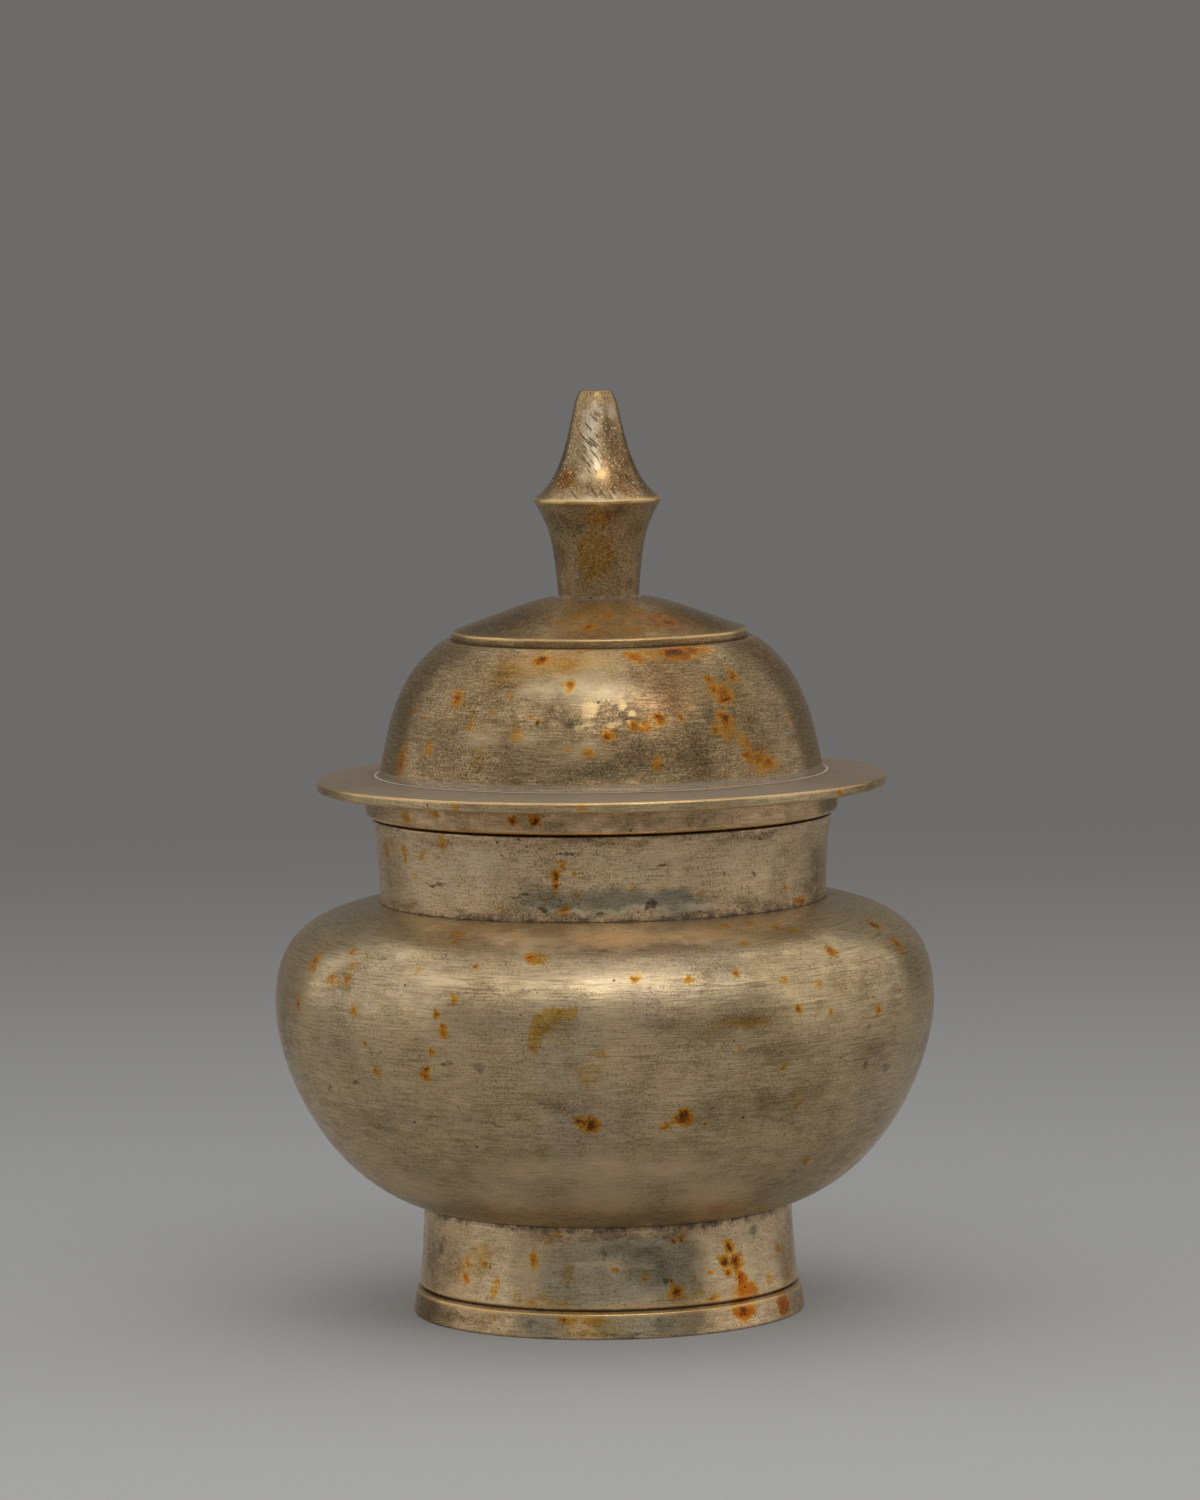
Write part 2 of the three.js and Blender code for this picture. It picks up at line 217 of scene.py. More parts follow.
class PotBrassColours(bpy.types.PropertyGroup):
    """Colours of the brass, its tarnish and its dirt"""

    champagne: tint("Champagne", (0.68, 0.513, 0.297), "Rubbed brass")
    olive: tint("Olive", (0.458, 0.33, 0.166), "Dulled brass")
    bronze: tint("Bronze", (0.435, 0.298, 0.146), "Rubbed brass of the lid and the knob")
    walnut: tint("Walnut", (0.257, 0.17, 0.082), "Dulled brass of the lid and the knob")
    # Blush also lies in patches on the belly and the foot as painted highlight and painted reflection
    blush: tint("Blush", (0.89, 0.668, 0.407), "Rubbed brass of the neck and the foot")
    sand: tint("Sand", (0.625, 0.452, 0.256), "Dulled brass of the neck and the foot")
    wheat: tint("Wheat", (0.85, 0.575, 0.325), "Rubbed brass of the seat ring")
    # Pale also lies on the dome and the knob as painted highlight
    pale: tint("Pale", (0.86, 0.68, 0.42), "Places where the patina has come off")
    # Silver lies on the knob as painted highlight, painted glint and painted reflection, partly over bare
    # scuffed brass, and on the neck partly as painted reflection
    silver: tint("Silver", (0.94, 0.79, 0.58), "Bare, scuffed places on the knob")
    gold: tint("Gold", (0.74, 0.49, 0.20), "Edges worn bright")
    flake: tint("Flake", (0.64, 0.45, 0.21), "Golden flakes on the dome")
    umber: tint("Umber", (0.11, 0.072, 0.034), "Dark olive-brown lines and speckle")
    scorch: tint("Scorch", (0.075, 0.024, 0.006), "Darkest middle of a tarnish spot")
    bloom: tint("Bloom", (0.26, 0.205, 0.155), "Mauve-grey bloom on the brim")
    soil: tint("Soil", (0.115, 0.072, 0.048), "Brown dirt beside the seams")
    grime: tint("Grime", (0.03, 0.02, 0.014), "Dark dirt in the seams")
    dust: tint("Dust", (0.58, 0.48, 0.41), "Pale dust in the corners")
    hollow: tint("Hollow", (0.24, 0.175, 0.09), "Dull brass inside the pot and the lid")
    straw: tint("Straw", (1.0, 0.78, 0.36), "Stain round a tarnish spot")
    amber: tint("Amber", (0.90, 0.58, 0.12), "Stain of a tarnish spot")
    rust: tint("Rust", (0.52, 0.41, 0.40), "Darker stain in its middle")
    ochre: tint("Ochre", (0.92, 0.74, 0.33), "Golden stain on the knob's stem")
    copper: tint("Copper", (1.0, 0.79, 0.62), "Warm brown stain")
    mauve: tint("Mauve", (0.64, 0.57, 0.57), "Grey-brown stain")
    ash: tint("Ash", (0.84, 0.87, 1.0), "Grey bloom on the belly")
    taupe: tint("Taupe", (0.56, 0.53, 0.53), "Dark grey-brown stain")
    moss: tint("Moss", (0.40, 0.46, 0.43), "Dark green-grey stain")
    # Painted shade: darker sides of the pieces, darkness under the lid's ring and along the band's foot, and
    # the dark reflections on the belly, with some dark patina
    shade: tint("Shade", (0.55, 0.52, 0.47), "Dark brown stain")
    # Painted reflection: the cold grey of the dark room in front, mirrored on the foot, the band and the
    # neck
    painted_cold_reflection: tint("Steel", (0.56, 0.65, 0.75), "Cold grey stain")
    # Painted reflection: the darker middle of that mirrored room
    painted_dark_reflection: tint("Slate", (0.36, 0.39, 0.41), "Dark grey stain on the foot")
    filth: tint("Filth", (0.27, 0.22, 0.20), "Brown marks on the neck")


class PotStageSettings(bpy.types.PropertyGroup):
    """Floor, light and camera"""

    floor: tint("Floor", (0.43, 0.43, 0.427), "Pale floor under the pot")
    distance: tint("Distance", (0.15, 0.148, 0.144), "Grey that the floor fades into")
    fade_lead: length("Fade lead", 0.25, "How far in front of the pot the floor starts to fade backwards")
    fade_end: length("Fade end", 0.7, "How far behind the pot the floor has faded")
    side_start: length(
        "Side start", 0.35, "Where the floor starts to fade in front of the pot and beside it"
    )
    side_end: length("Side end", 0.85, "Where the floor has faded in front of the pot and beside it")
    key: number("Key light", 2.4, "Power of the front softbox, in watts")
    front: number("Front light", 8.0, "Power of the broad sheet behind the key light, in watts")
    fill: number("Fill light", 0.4, "Power of the low sheet at the camera's side, in watts")
    left: number("Left light", 5.4, "Power of the left softbox, in watts")
    right: number("Right light", 5.2, "Power of the right softbox, in watts")
    top: number("Top light", 8.0, "Power of the overhead softbox, in watts")
    lens: bpy.props.FloatProperty(
        name="Lens", description="Focal length", default=172.0, min=1.0, unit="CAMERA"
    )


# Outlines
def bowed(start, end, handles, steps):
    """Points along a bowed line, with its two handles as shares of the way."""
    start = np.array(start)
    end = np.array(end)
    leaving = start + (end - start) * np.array(handles[0])
    arriving = start + (end - start) * np.array(handles[1])
    part = np.linspace(0.0, 1.0, steps + 1)[:, None]
    return (
        (1 - part) ** 3 * start
        + 3 * (1 - part) ** 2 * part * leaving
        + 3 * (1 - part) * part**2 * arriving
        + part**3 * end
    )


def inner_wall(outer, wall, low, high):
    """Points one wall inside an outer line that runs upwards, kept between two heights."""
    way = np.gradient(outer, axis=0)
    way /= np.linalg.norm(way, axis=1)[:, None]
    inner = outer + wall * np.column_stack([-way[:, 1], way[:, 0]])
    inner[:, 1] = np.clip(inner[:, 1], low, high)
    return inner


class Outline:
    """The cut face of a turned piece: a counter-clockwise path of radius and height with marked corners."""

    def __init__(self, radius, height):
        self.points = [np.array([radius, height])]
        self.inside = [0.0]
        self.bloom = [0.0]
        self.corners = []

    def through(self, points, soft=0.0, inside=0.0, bloom=0.0, **marks):
        """Follows some points to the next corner, which soft rounds and marks describe."""
        self.points.extend(points)
        self.inside.extend([inside] * len(points))
        self.bloom.extend([bloom] * len(points))
        self.corners.append((len(self.points) - 1, soft, marks))

    def line(self, radius, height, **corner):
        """Goes straight to the next corner."""
        start = self.points[-1]
        end = np.array([radius, height])
        steps = max(1, math.ceil(np.linalg.norm(end - start) / OUTLINE_STEP))
        self.through([start + (end - start) * step / steps for step in range(1, steps + 1)], **corner)

    def bow(self, radius, height, handles, **corner):
        """Goes along a bowed line to the next corner."""
        start = self.points[-1]
        steps = max(CORNER_STEPS, math.ceil(math.dist(start, (radius, height)) * BOW_SLACK / OUTLINE_STEP))
        self.through(list(bowed(start, (radius, height), handles, steps))[1:], **corner)

    def radius_at(self, height):
        """The outermost radius at a height."""
        points = np.array(self.points)
        low = points[:-1]
        high = points[1:]
        crosses = (low[:, 1] - height) * (high[:, 1] - height) <= 0
        crosses &= np.abs(high[:, 1] - low[:, 1]) > LEVEL_LIMIT
        if not crosses.any():
            raise ValueError(f"the outline doesn't reach the height {height}")
        low = low[crosses]
        high = high[crosses]
        part = (height - low[:, 1]) / (high[:, 1] - low[:, 1])
        return float((low[:, 0] + part * (high[:, 0] - low[:, 0])).max())

    def finished(self):
        """The rounded path's points and, for each, how far along it lies and its marks."""
        points = np.array(self.points)
        along = np.concatenate([[0.0], np.cumsum(np.linalg.norm(np.diff(points, axis=0), axis=1))])
        rows = {index: [row] for index, row in enumerate(zip(points, along))}

        def at(place):
            return np.array([np.interp(place, along, points[:, 0]), np.interp(place, along, points[:, 1])])

        for corner, soft, _ in self.corners:
            if soft == 0.0:
                continue
            near = np.abs(along - along[corner]) < soft
            for index in np.flatnonzero(near):
                rows[index] = []
            start = at(along[corner] - soft)
            end = at(along[corner] + soft)
            for part in np.linspace(0.0, 1.0, CORNER_STEPS + 1):
                place = (1 - part) ** 2 * start + 2 * (1 - part) * part * points[corner] + part**2 * end
                rows[corner].append((place, along[corner] + soft * (2 * part - 1)))
        kept = [row for index in sorted(rows) for row in rows[index]]
        path = np.array([place for place, _ in kept])
        lengths = np.array([distance for _, distance in kept])
        marks = {"along": lengths}
        marks["inside"] = np.interp(lengths, along, self.inside)
        marks["bloom"] = np.interp(lengths, along, self.bloom)
        for mark, reach in MARKS.items():
            level = np.zeros(len(path))
            for corner, _, wanted in self.corners:
                if mark in wanted:
                    distance = np.abs(lengths - along[corner])
                    level = np.maximum(level, wanted[mark] * np.exp(-((distance / reach) ** 2)))
            marks[mark] = level
        return path, marks


# Node trees
class Nodes:
    """Adds nodes to a tree and hands back their outputs."""

    def __init__(self, tree):
        self.tree = tree

    def add(self, kind, inputs=None, **settings):
        """The outputs of a new node, whose inputs are values or other nodes' outputs."""
        made = self.tree.nodes.new(kind)
        for key, value in settings.items():
            setattr(made, key, value)
        for key, value in (inputs or {}).items():
            if isinstance(value, bpy.types.NodeSocket):
                self.tree.links.new(value, made.inputs[key])
            else:
                made.inputs[key].default_value = value
        return made.outputs

    def first(self, kind, inputs=None, **settings):
        """The first output of a new node."""
        return self.add(kind, inputs, **settings)[0]

    def math(self, operation, first, second=0.0, third=0.0):
        return self.first("ShaderNodeMath", {0: first, 1: second, 2: third}, operation=operation)

    def split(self, place):
        """The three numbers of a place."""
        return self.add("ShaderNodeSeparateXYZ", {0: place})

    def joined(self, x, y, z=0.0):
        """A place made of three numbers."""
        return self.first("ShaderNodeCombineXYZ", {"X": x, "Y": y, "Z": z})


# The lathe: a node tree that spins an outline about the Z axis
LATHE_NAME = "Turned on the lathe"
LATHE_INPUTS = {
    "Outline": ("NodeSocketGeometry", None),
    "Steps round": ("NodeSocketInt", ROUND_STEPS),
    "Core radius": ("NodeSocketFloat", LATHE_CORE),
    "Unevenness": ("NodeSocketFloat", 0.0),
    "Seed": ("NodeSocketFloat", 1.0),
    "Finish": ("NodeSocketMaterial", None),
}


def lathe_tree():
    """Builds the tree once and hands it back."""
    if LATHE_NAME in bpy.data.node_groups:
        return bpy.data.node_groups[LATHE_NAME]
    tree = bpy.data.node_groups.new(LATHE_NAME, "GeometryNodeTree")
    for name, (kind, value) in LATHE_INPUTS.items():
        socket = tree.interface.new_socket(name, in_out="INPUT", socket_type=kind)
        if value is not None:
            socket.default_value = value
    tree.interface.new_socket("Piece", in_out="OUTPUT", socket_type="NodeSocketGeometry")
    nodes = Nodes(tree)
    given = nodes.add("NodeGroupInput")

    # The outline is laid flat, so that its radius runs outwards from the core and its height runs up
    curve = nodes.first("GeometryNodeMeshToCurve", {"Mesh": given["Outline"]})
    spot = nodes.split(nodes.first("GeometryNodeInputPosition"))
    outwards = nodes.math("SUBTRACT", spot["X"], given["Core radius"])
    upwards = nodes.math("MULTIPLY", spot["Z"], -1.0)
    flat = nodes.joined(outwards, upwards)
    laid = nodes.first("GeometryNodeSetPosition", {"Geometry": curve, "Position": flat})

    # It is then swept round the core, the poles are closed and the faces turned outwards
    round_core = {"Resolution": given["Steps round"], "Radius": given["Core radius"]}
    ring = nodes.first("GeometryNodeCurvePrimitiveCircle", round_core, mode="RADIUS")
    upright = nodes.first("GeometryNodeSetCurveNormal", {"Curve": ring}, mode="Z_UP")
    swept = nodes.first("GeometryNodeCurveToMesh", {"Curve": upright, "Profile Curve": laid})
    welded = nodes.first("GeometryNodeMergeByDistance", {"Geometry": swept, "Distance": WELD_DISTANCE})
    turned = nodes.first("GeometryNodeFlipFaces", {"Mesh": welded})

    # Slight hand-made unevenness, always inwards
    waves = {
        "Vector": nodes.first("GeometryNodeInputPosition"),
        "W": given["Seed"],
        "Scale": WAVES_PER_METRE,
        "Detail": 1.0,
    }
    wave = nodes.first("ShaderNodeTexNoise", waves, noise_dimensions="4D")
    inwards = nodes.math("MULTIPLY", nodes.math("MULTIPLY", wave, given["Unevenness"]), -1.0)
    normal = nodes.first("GeometryNodeInputNormal")
    push = nodes.first("ShaderNodeVectorMath", {0: normal, "Scale": inwards}, operation="SCALE")
    moved = nodes.first("GeometryNodeSetPosition", {"Geometry": turned, "Offset": push})

    smooth = nodes.first("GeometryNodeSetShadeSmooth", {"Geometry": moved})
    real = nodes.first("GeometryNodeRealizeInstances", {"Geometry": smooth})
    finished = nodes.first("GeometryNodeSetMaterial", {"Geometry": real, "Material": given["Finish"]})
    nodes.add("NodeGroupOutput", {"Piece": finished})
    return tree


def turn_piece(node, body, outline, look, seed, steps=ROUND_STEPS, uneven=UNEVENNESS, closed=True):
    """Spins an outline into a piece that stands for a node of the frame and rides on its body."""
    path, marks = outline.finished()
    if closed:
        path = path[:-1]
        marks = {mark: level[:-1] for mark, level in marks.items()}
    count = len(path)
    last = count if closed else count - 1
    mesh = bpy.data.meshes.new(f"{node}_outline")
    points = [(radius, 0.0, height) for radius, height in path]
    edges = [(index, (index + 1) % count) for index in range(last)]
    mesh.from_pydata(points, edges, [])
    for mark, level in marks.items():
        mesh.attributes.new(mark, "FLOAT", "POINT").data.foreach_set("value", level.astype(np.float32))
    piece = bpy.data.objects.new(f"turned_{node}", mesh)
    bpy.context.scene.collection.objects.link(piece)

    settings = {
        "Steps round": steps,
        "Core radius": LATHE_CORE,
        "Unevenness": uneven,
        "Seed": seed,
        "Finish": Brass(look, outline).material,
    }
    lathe = piece.modifiers.new("Lathe", "NODES")
    lathe.node_group = lathe_tree()
    for item in lathe.node_group.interface.items_tree:
        if item.name in settings:
            lathe[item.identifier] = settings[item.name]

    depsgraph = bpy.context.evaluated_depsgraph_get()
    made = bpy.data.meshes.new_from_object(
        piece.evaluated_get(depsgraph), preserve_all_data_layers=True, depsgraph=depsgraph
    )
    if len(made.polygons) == 0:
        raise RuntimeError(f"the lathe made nothing of {node}")
    piece.modifiers.remove(lathe)
    piece.data = made
    bpy.data.meshes.remove(mesh)
    made.name = piece.name
    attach(piece, body)
    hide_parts(node)


# Finishes
@dataclass
class Spot:
    """A mark on the outside: its turn from the front in degrees, its height and radius in millimetres."""

    turn: float
    height: float
    size: float
    drip: float = 1.0  # how much taller than wide
    ring: bool = False  # open in the middle
    deep: bool = False  # tarnished to a dark middle


def deep(turn, height, size, drip=1.0):
    """A spot that is tarnished to a dark middle."""
    return Spot(turn, height, size, drip, deep=True)


@dataclass
class Patch:
    """Some places on a piece that take another tone: stains and patina, and also painted shade, painted
    highlights and painted reflections.
    """

    tone: str
    amount: float
    places: list  # each with its turn, height, size and drip, as a spot has them
    edge: float = 0.6  # share of the radius over which it fades out
    pattern: str = "streaks"  # streaks, scuffs, scores or dots, into which it is broken up, or even


# Tones that stain the brass under them, painted shade and painted reflections among them; the others cover
# it
STAINS = {
    "ash", "ochre", "copper", "mauve", "taupe", "moss", "shade", "painted_cold_reflection", "painted_dark_reflection", "filth", "straw", "amber",
    "rust",
}


@dataclass
class Look:
    """What sets one piece's brass apart from the others'."""

    name: str
    bright: str = "champagne"
    dull: str = "olive"
    haze: str = "copper"
    haze_share: float = 0.25  # how strong the haze is
    mottle: float = 1.0  # how much rubbed and dulled places differ
    lines: float = 1.0  # how strong the turning lines are
    grain: float = 0.5  # how strong the fine speckle is
    specks: float = 0.5  # how many small tarnish specks are scattered
    bared: float = 0.1  # how much pale brass shows in its spots
    tarnish: float = 0.5  # how far most spots get towards a dark middle
    spots: list = field(default_factory=list)
    patches: list = field(default_factory=list)
    seed: float = 0.0  # moves its noises and lines


class Shading(Nodes):
    """Adds shader nodes to one new material."""

    def __init__(self, name):
        self.material = bpy.data.materials.new(name)
        self.material.use_nodes = True
        super().__init__(self.material.node_tree)
        self.tree.nodes.clear()

    def times(self, first, second):
        return self.math("MULTIPLY", first, second)

    def total(self, *terms):
        """The sum of some values, each with its own weight."""
        level = 0.0
        for value, weight in terms:
            level = self.math("MULTIPLY_ADD", value, weight, level)
        return level

    def most(self, level, *others):
        """The highest of some levels."""
        for other in others:
            level = self.math("MAXIMUM", level, other)
        return level

    def vector(self, operation, *places):
        return self.first("ShaderNodeVectorMath", dict(enumerate(places)), operation=operation)

    def ramp(self, value, low, high, to_low=0.0, to_high=1.0):
        """A soft step from one level to another."""
        inputs = {"Value": value, "From Min": low, "From Max": high, "To Min": to_low, "To Max": to_high}
        return self.first("ShaderNodeMapRange", inputs, interpolation_type="SMOOTHSTEP")

    def noise(self, place, scale, detail=2.0, roughness=0.5):
        """A noise's level, and its colour under that name."""
        inputs = {"Vector": place, "Scale": scale, "Detail": detail, "Roughness": roughness}
        return self.add("ShaderNodeTexNoise", inputs)

    def dots(self, place, cells, channel, rarity, size):
        """How far a place lies inside a dot, with so many cells to the metre and one dot or none in each."""
        cell = self.add("ShaderNodeTexVoronoi", {"Vector": place, "Scale": cells})
        chance = self.add("ShaderNodeSeparateColor", {0: cell["Color"]})[channel]
        reach = self.times(self.ramp(chance, rarity, 1.0), size)
        return self.math("SUBTRACT", reach, cell["Distance"])

    def warped(self, place, shift, distance):
        """A place moved about by a noise's colour, up to half a distance each way."""
        middle = self.vector("SUBTRACT", shift, (0.5, 0.5, 0.5))
        return self.vector("MULTIPLY_ADD", middle, (distance, distance, distance), place)

    def mark(self, name):
        """One of the outline's marks."""
        return self.add("ShaderNodeAttribute", attribute_name=name)["Fac"]

    def blend(self, factor, first, second, how="MIX"):
        """A colour between two others, or with MULTIPLY the first seen through the second."""
        inputs = {0: factor, 6: first, 7: second}
        return self.add("ShaderNodeMix", inputs, data_type="RGBA", blend_type=how)[2]

    def between(self, factor, first, second):
        """A number between two others."""
        return self.first("ShaderNodeMix", {0: factor, 2: first, 3: second}, data_type="FLOAT")


# Turning lines: their pitch, how often they break off on the way round, and their detail
HAIR_LINES = (0.12 * MM, 12.0, 2.0)
FINE_LINES = (0.3 * MM, 16.0, 1.0)
WIDE_LINES = (0.9 * MM, 4.0, 2.0)
SCORE_LINES = (0.42 * MM, 3.0, 2.0)
SCRATCH_LINES = (0.26 * MM, 6.0, 3.0)
SMEAR_LINES = (1.3 * MM, 15.0, 3.0)
BAND_LINES = (3.4 * MM, 1.8, 2.0)
LINE_SHIFT = 31.0  # moves the lines of pieces with different seeds apart

# Noises: their scale per metre, detail and roughness
CLOUDS = (45.0, 5.0, 0.62)
HAZE = (70.0, 5.0, 0.65)
BLOTCHES = (180.0, 4.0, 0.62)
DRIFTS = (260.0, 4.0, 0.65)
RAGS = (620.0, 4.0, 0.7)
GRAIN = (3400.0, 2.0, 0.7)
SEED_SHIFT = (1.0, 0.7, 0.3)  # way in which a piece's seed moves its noises
HAZE_SHIFT = (0.31, 0.17, 0.23)  # moves the haze off the other noises

# Specks, pits, dots and scuffs per metre
SPECK_CELLS = 150.0
PIT_CELLS = 620.0
DOT_CELLS = 2600.0
SCUFFS = 1400.0

# Patches and tarnish spots
PATCH_DRIFT = 3.6 * MM
SPOT_DRIFT = 2.4 * MM
RING_LINE = 0.75  # where an open spot's line lies, as a share of the radius
RING_LEVEL = 0.55
RING_SLOPE = 2.2
GOLDEN_SHARE = 0.618  # spreads the depths of tarnish spots evenly

DULL_LEVEL = 0.57  # of the noises, at which brass is half dulled
DULL_SPREAD = 0.11
RELIEF = 0.035 * MM


class Brass(Shading):
    """Turned brass with turning lines, patina, tarnish spots, grime, dust and worn edges, and patches of
    painted shade, painted highlights and painted reflections.
    """

    def __init__(self, look, outline):
        super().__init__(look.name)
        self.look = look
        self.outline = outline
        self.start = self.add("ShaderNodeTexCoord")["Object"]
        self.place = self.vector("ADD", self.start, [look.seed * share for share in SEED_SHIFT])
        self.outwards = self.vector("NORMALIZE", self.vector("MULTIPLY", self.start, (1.0, 1.0, 0.0)))
        self.sides = self.split(self.outwards)
        self.along = self.mark("along")
        self.hair_lines = self.lines(*HAIR_LINES)
        self.fine_lines = self.lines(*FINE_LINES)
        self.wide_lines = self.lines(*WIDE_LINES)
        self.smears = self.lines(*SMEAR_LINES)
        self.cloud = self.noise(self.place, *CLOUDS)[0]
        self.blotch = self.noise(self.place, *BLOTCHES)[0]
        self.grain = self.noise(self.place, *GRAIN)[0]
        self.rags = self.noise(self.place, *RAGS)
        self.rub_and_dull()
        self.lay_patches()
        self.tarnish()
        self.pit()
        self.wear_and_soil()
        self.finish()

    def tone(self, key):
        return (*getattr(bpy.context.scene.pot_brass, key), 1.0)

    def cover(self, factor, key, roughness=None):
        """Lays a tone over the brass, with its own roughness if it has one."""
        self.colour = self.blend(factor, self.colour, self.tone(key))
        if roughness is not None:
            self.roughness = self.between(factor, self.roughness, roughness)

    def stain(self, factor, key):
        """Lets the brass be seen through a tone."""
        self.colour = self.blend(factor, self.colour, self.tone(key), "MULTIPLY")

    def roughen(self, factor, amount):
        self.roughness = self.math("MULTIPLY_ADD", factor, amount, self.roughness)

    def lower_metal(self, factor, share):
        self.metal = self.times(self.metal, self.math("MULTIPLY_ADD", factor, -share, 1.0))

    def lines(self, pitch, breaks, detail):
        """Turning lines of a pitch in metres, broken up along their length."""
        across = self.math("MULTIPLY_ADD", self.along, 1.0 / pitch, self.look.seed * LINE_SHIFT)
        where = self.joined(across, self.times(self.sides["X"], breaks), self.times(self.sides["Y"], breaks))
        return self.noise(where, 1.0, detail)[0]

    def rub_and_dull(self):
        """Rubbed and dulled brass, its lines, haze and speckle."""
        look = self.look
        level = self.total((self.cloud, 0.3), (self.blotch, 0.2), (self.rags[0], 0.25), (self.smears, 0.35))
        spread = DULL_SPREAD / look.mottle
        dullness = self.ramp(level, DULL_LEVEL - spread, DULL_LEVEL + spread)
        self.colour = self.blend(dullness, self.tone(look.bright), self.tone(look.dull))
        streaks = self.ramp(self.total((self.fine_lines, 0.5), (self.wide_lines, 0.5)), 0.38, 0.62)
        self.cover(self.times(streaks, 0.4 * look.lines), look.dull)
        haze_place = self.vector("ADD", self.place, HAZE_SHIFT)
        haze = self.ramp(self.noise(haze_place, *HAZE)[0], 0.44, 0.64)
        self.stain(self.times(haze, look.haze_share), look.haze)
        scored = self.ramp(self.lines(*SCORE_LINES), 0.56, 0.72)
        scored_places = self.ramp(self.total((self.cloud, 0.5), (self.blotch, 0.5)), 0.4, 0.6)
        self.scores = self.times(scored, scored_places)
        self.cover(self.times(self.scores, 0.4 * look.lines), "umber")
        self.cover(self.ramp(self.hair_lines, 0.46, 0.68, 0.0, 0.5 * look.lines), "umber")
        self.cover(self.ramp(self.hair_lines, 0.32, 0.48, 0.3 * look.lines, 0.0), "pale")
        speckle = self.ramp(self.total((self.grain, 0.8), (self.blotch, 0.2)), 0.48, 0.7)
        self.cover(self.times(speckle, 1.1 * look.grain), "umber")
        glints = self.ramp(self.grain, 0.26, 0.46, 1.0, 0.0)
        self.cover(self.times(glints, 0.6 * look.grain), "champagne")
        roughness = self.total((dullness, 0.1), (streaks, 0.06), (speckle, 0.08 * look.grain))
        self.roughness = self.math("ADD", roughness, 0.23)
        self.metal = self.math("MULTIPLY_ADD", dullness, -0.2, 0.84)

    def spot_level(self, place, spots, strength=1.0):
        """1, or less in spots that are not deep, in the middle of a spot, 0 at its edge and less outside."""
        levels = []
        for index, spot in enumerate(spots):
            turn = math.radians(spot.turn)
            height = spot.height * MM
            radius = self.outline.radius_at(height)
            centre = Vector((radius * math.sin(turn), -radius * math.cos(turn), height))
            across = 1.0 / (spot.size * MM)
            scale = Vector((across, across, across / spot.drip))
            offset = self.vector("MULTIPLY_ADD", place, scale, -centre * scale)
            distance = self.add("ShaderNodeVectorMath", {0: offset}, operation="LENGTH")["Value"]
            level = self.math("SUBTRACT", 1.0, distance)
            if spot.ring:
                off_line = self.math("ABSOLUTE", self.math("SUBTRACT", distance, RING_LINE))
                level = self.math("MULTIPLY_ADD", off_line, -RING_SLOPE, RING_LEVEL)
            if strength < 1.0 and not spot.deep:
                weaker = self.times(level, strength * (0.5 + index * GOLDEN_SHARE % 1.0))
                level = self.math("MINIMUM", level, weaker)
            levels.append(level)
        return self.most(*levels)

    def pattern(self, name):
        """How much of a patch each place of its pattern shows, which is all of an even one."""
        if name == "streaks":
            level = self.total((self.blotch, 0.3), (self.grain, 0.3), (self.smears, 0.4))
            return self.ramp(level, 0.38, 0.56, 0.4, 1.0)
        if name == "scuffs":
            spot = self.split(self.start)
            across = self.total((spot["Z"], SCUFFS), (spot["X"], 1.2 * SCUFFS))
            along = self.total((spot["X"], 0.2 * SCUFFS), (spot["Z"], -0.16 * SCUFFS))
            return self.ramp(self.noise(self.joined(across, along, spot["Y"]), 1.0)[0], 0.52, 0.6)
        if name == "scores":
            return self.ramp(self.lines(*SCRATCH_LINES), 0.54, 0.64)
        if name == "dots":
            return self.ramp(self.dots(self.place, DOT_CELLS, 2, 0.45, 0.42), 0.0, 0.16)
        return 1.0

    def lay_patches(self):
        """Patches at their places, each broken up by its pattern."""
        drifted = self.warped(self.start, self.noise(self.place, *DRIFTS)["Color"], PATCH_DRIFT)
        names = sorted({patch.pattern for patch in self.look.patches})
        patterns = {name: self.pattern(name) for name in names}
        for patch in self.look.patches:
            level = self.spot_level(drifted, [Spot(*place) for place in patch.places])
            mask = self.ramp(level, 0.0, patch.edge, 0.0, patch.amount)
            change = self.stain if patch.tone in STAINS else self.cover
            change(self.times(mask, patterns[patch.pattern]), patch.tone)

    def tarnish(self):
        """Scattered specks, and spots at their places, each with a film, a stain and a dark heart."""
        look = self.look
        jagged = self.warped(self.start, self.rags["Color"], SPOT_DRIFT)
        level = self.times(self.dots(jagged, SPECK_CELLS, 0, 1.0 - 0.5 * look.specks, 0.13), 6.0)
        if look.spots:
            level = self.most(level, self.spot_level(jagged, look.spots, look.tarnish))
        ragged = self.total((level, 1.0), (self.grain, 0.5), (self.rags[0], 0.5))
        patchy = self.ramp(self.total((self.rags[0], 0.6), (self.grain, 0.4)), 0.44, 0.58)
        film = self.ramp(ragged, 0.42, 0.6)
        self.amber = self.ramp(ragged, 0.54, 0.88)
        heart = self.times(self.ramp(ragged, 0.76, 1.1), patchy)
        core = self.times(self.ramp(ragged, 0.95, 1.25, 0.0, 0.85), self.ramp(self.blotch, 0.36, 0.5))
        self.cover(self.ramp(ragged, 0.46, 0.7, 0.0, look.bared), "pale")
        self.stain(film, "straw")
        self.stain(self.amber, "amber")
        self.stain(heart, "rust")
        self.cover(core, "scorch")
        self.roughen(self.amber, 0.1)
        self.lower_metal(self.amber, 0.25)

    def pit(self):
        """Small dark pits."""
        self.pits = self.ramp(self.dots(self.place, PIT_CELLS, 1, 0.8, 0.16), 0.0, 0.06)
        self.cover(self.times(self.pits, 0.75), "grime")

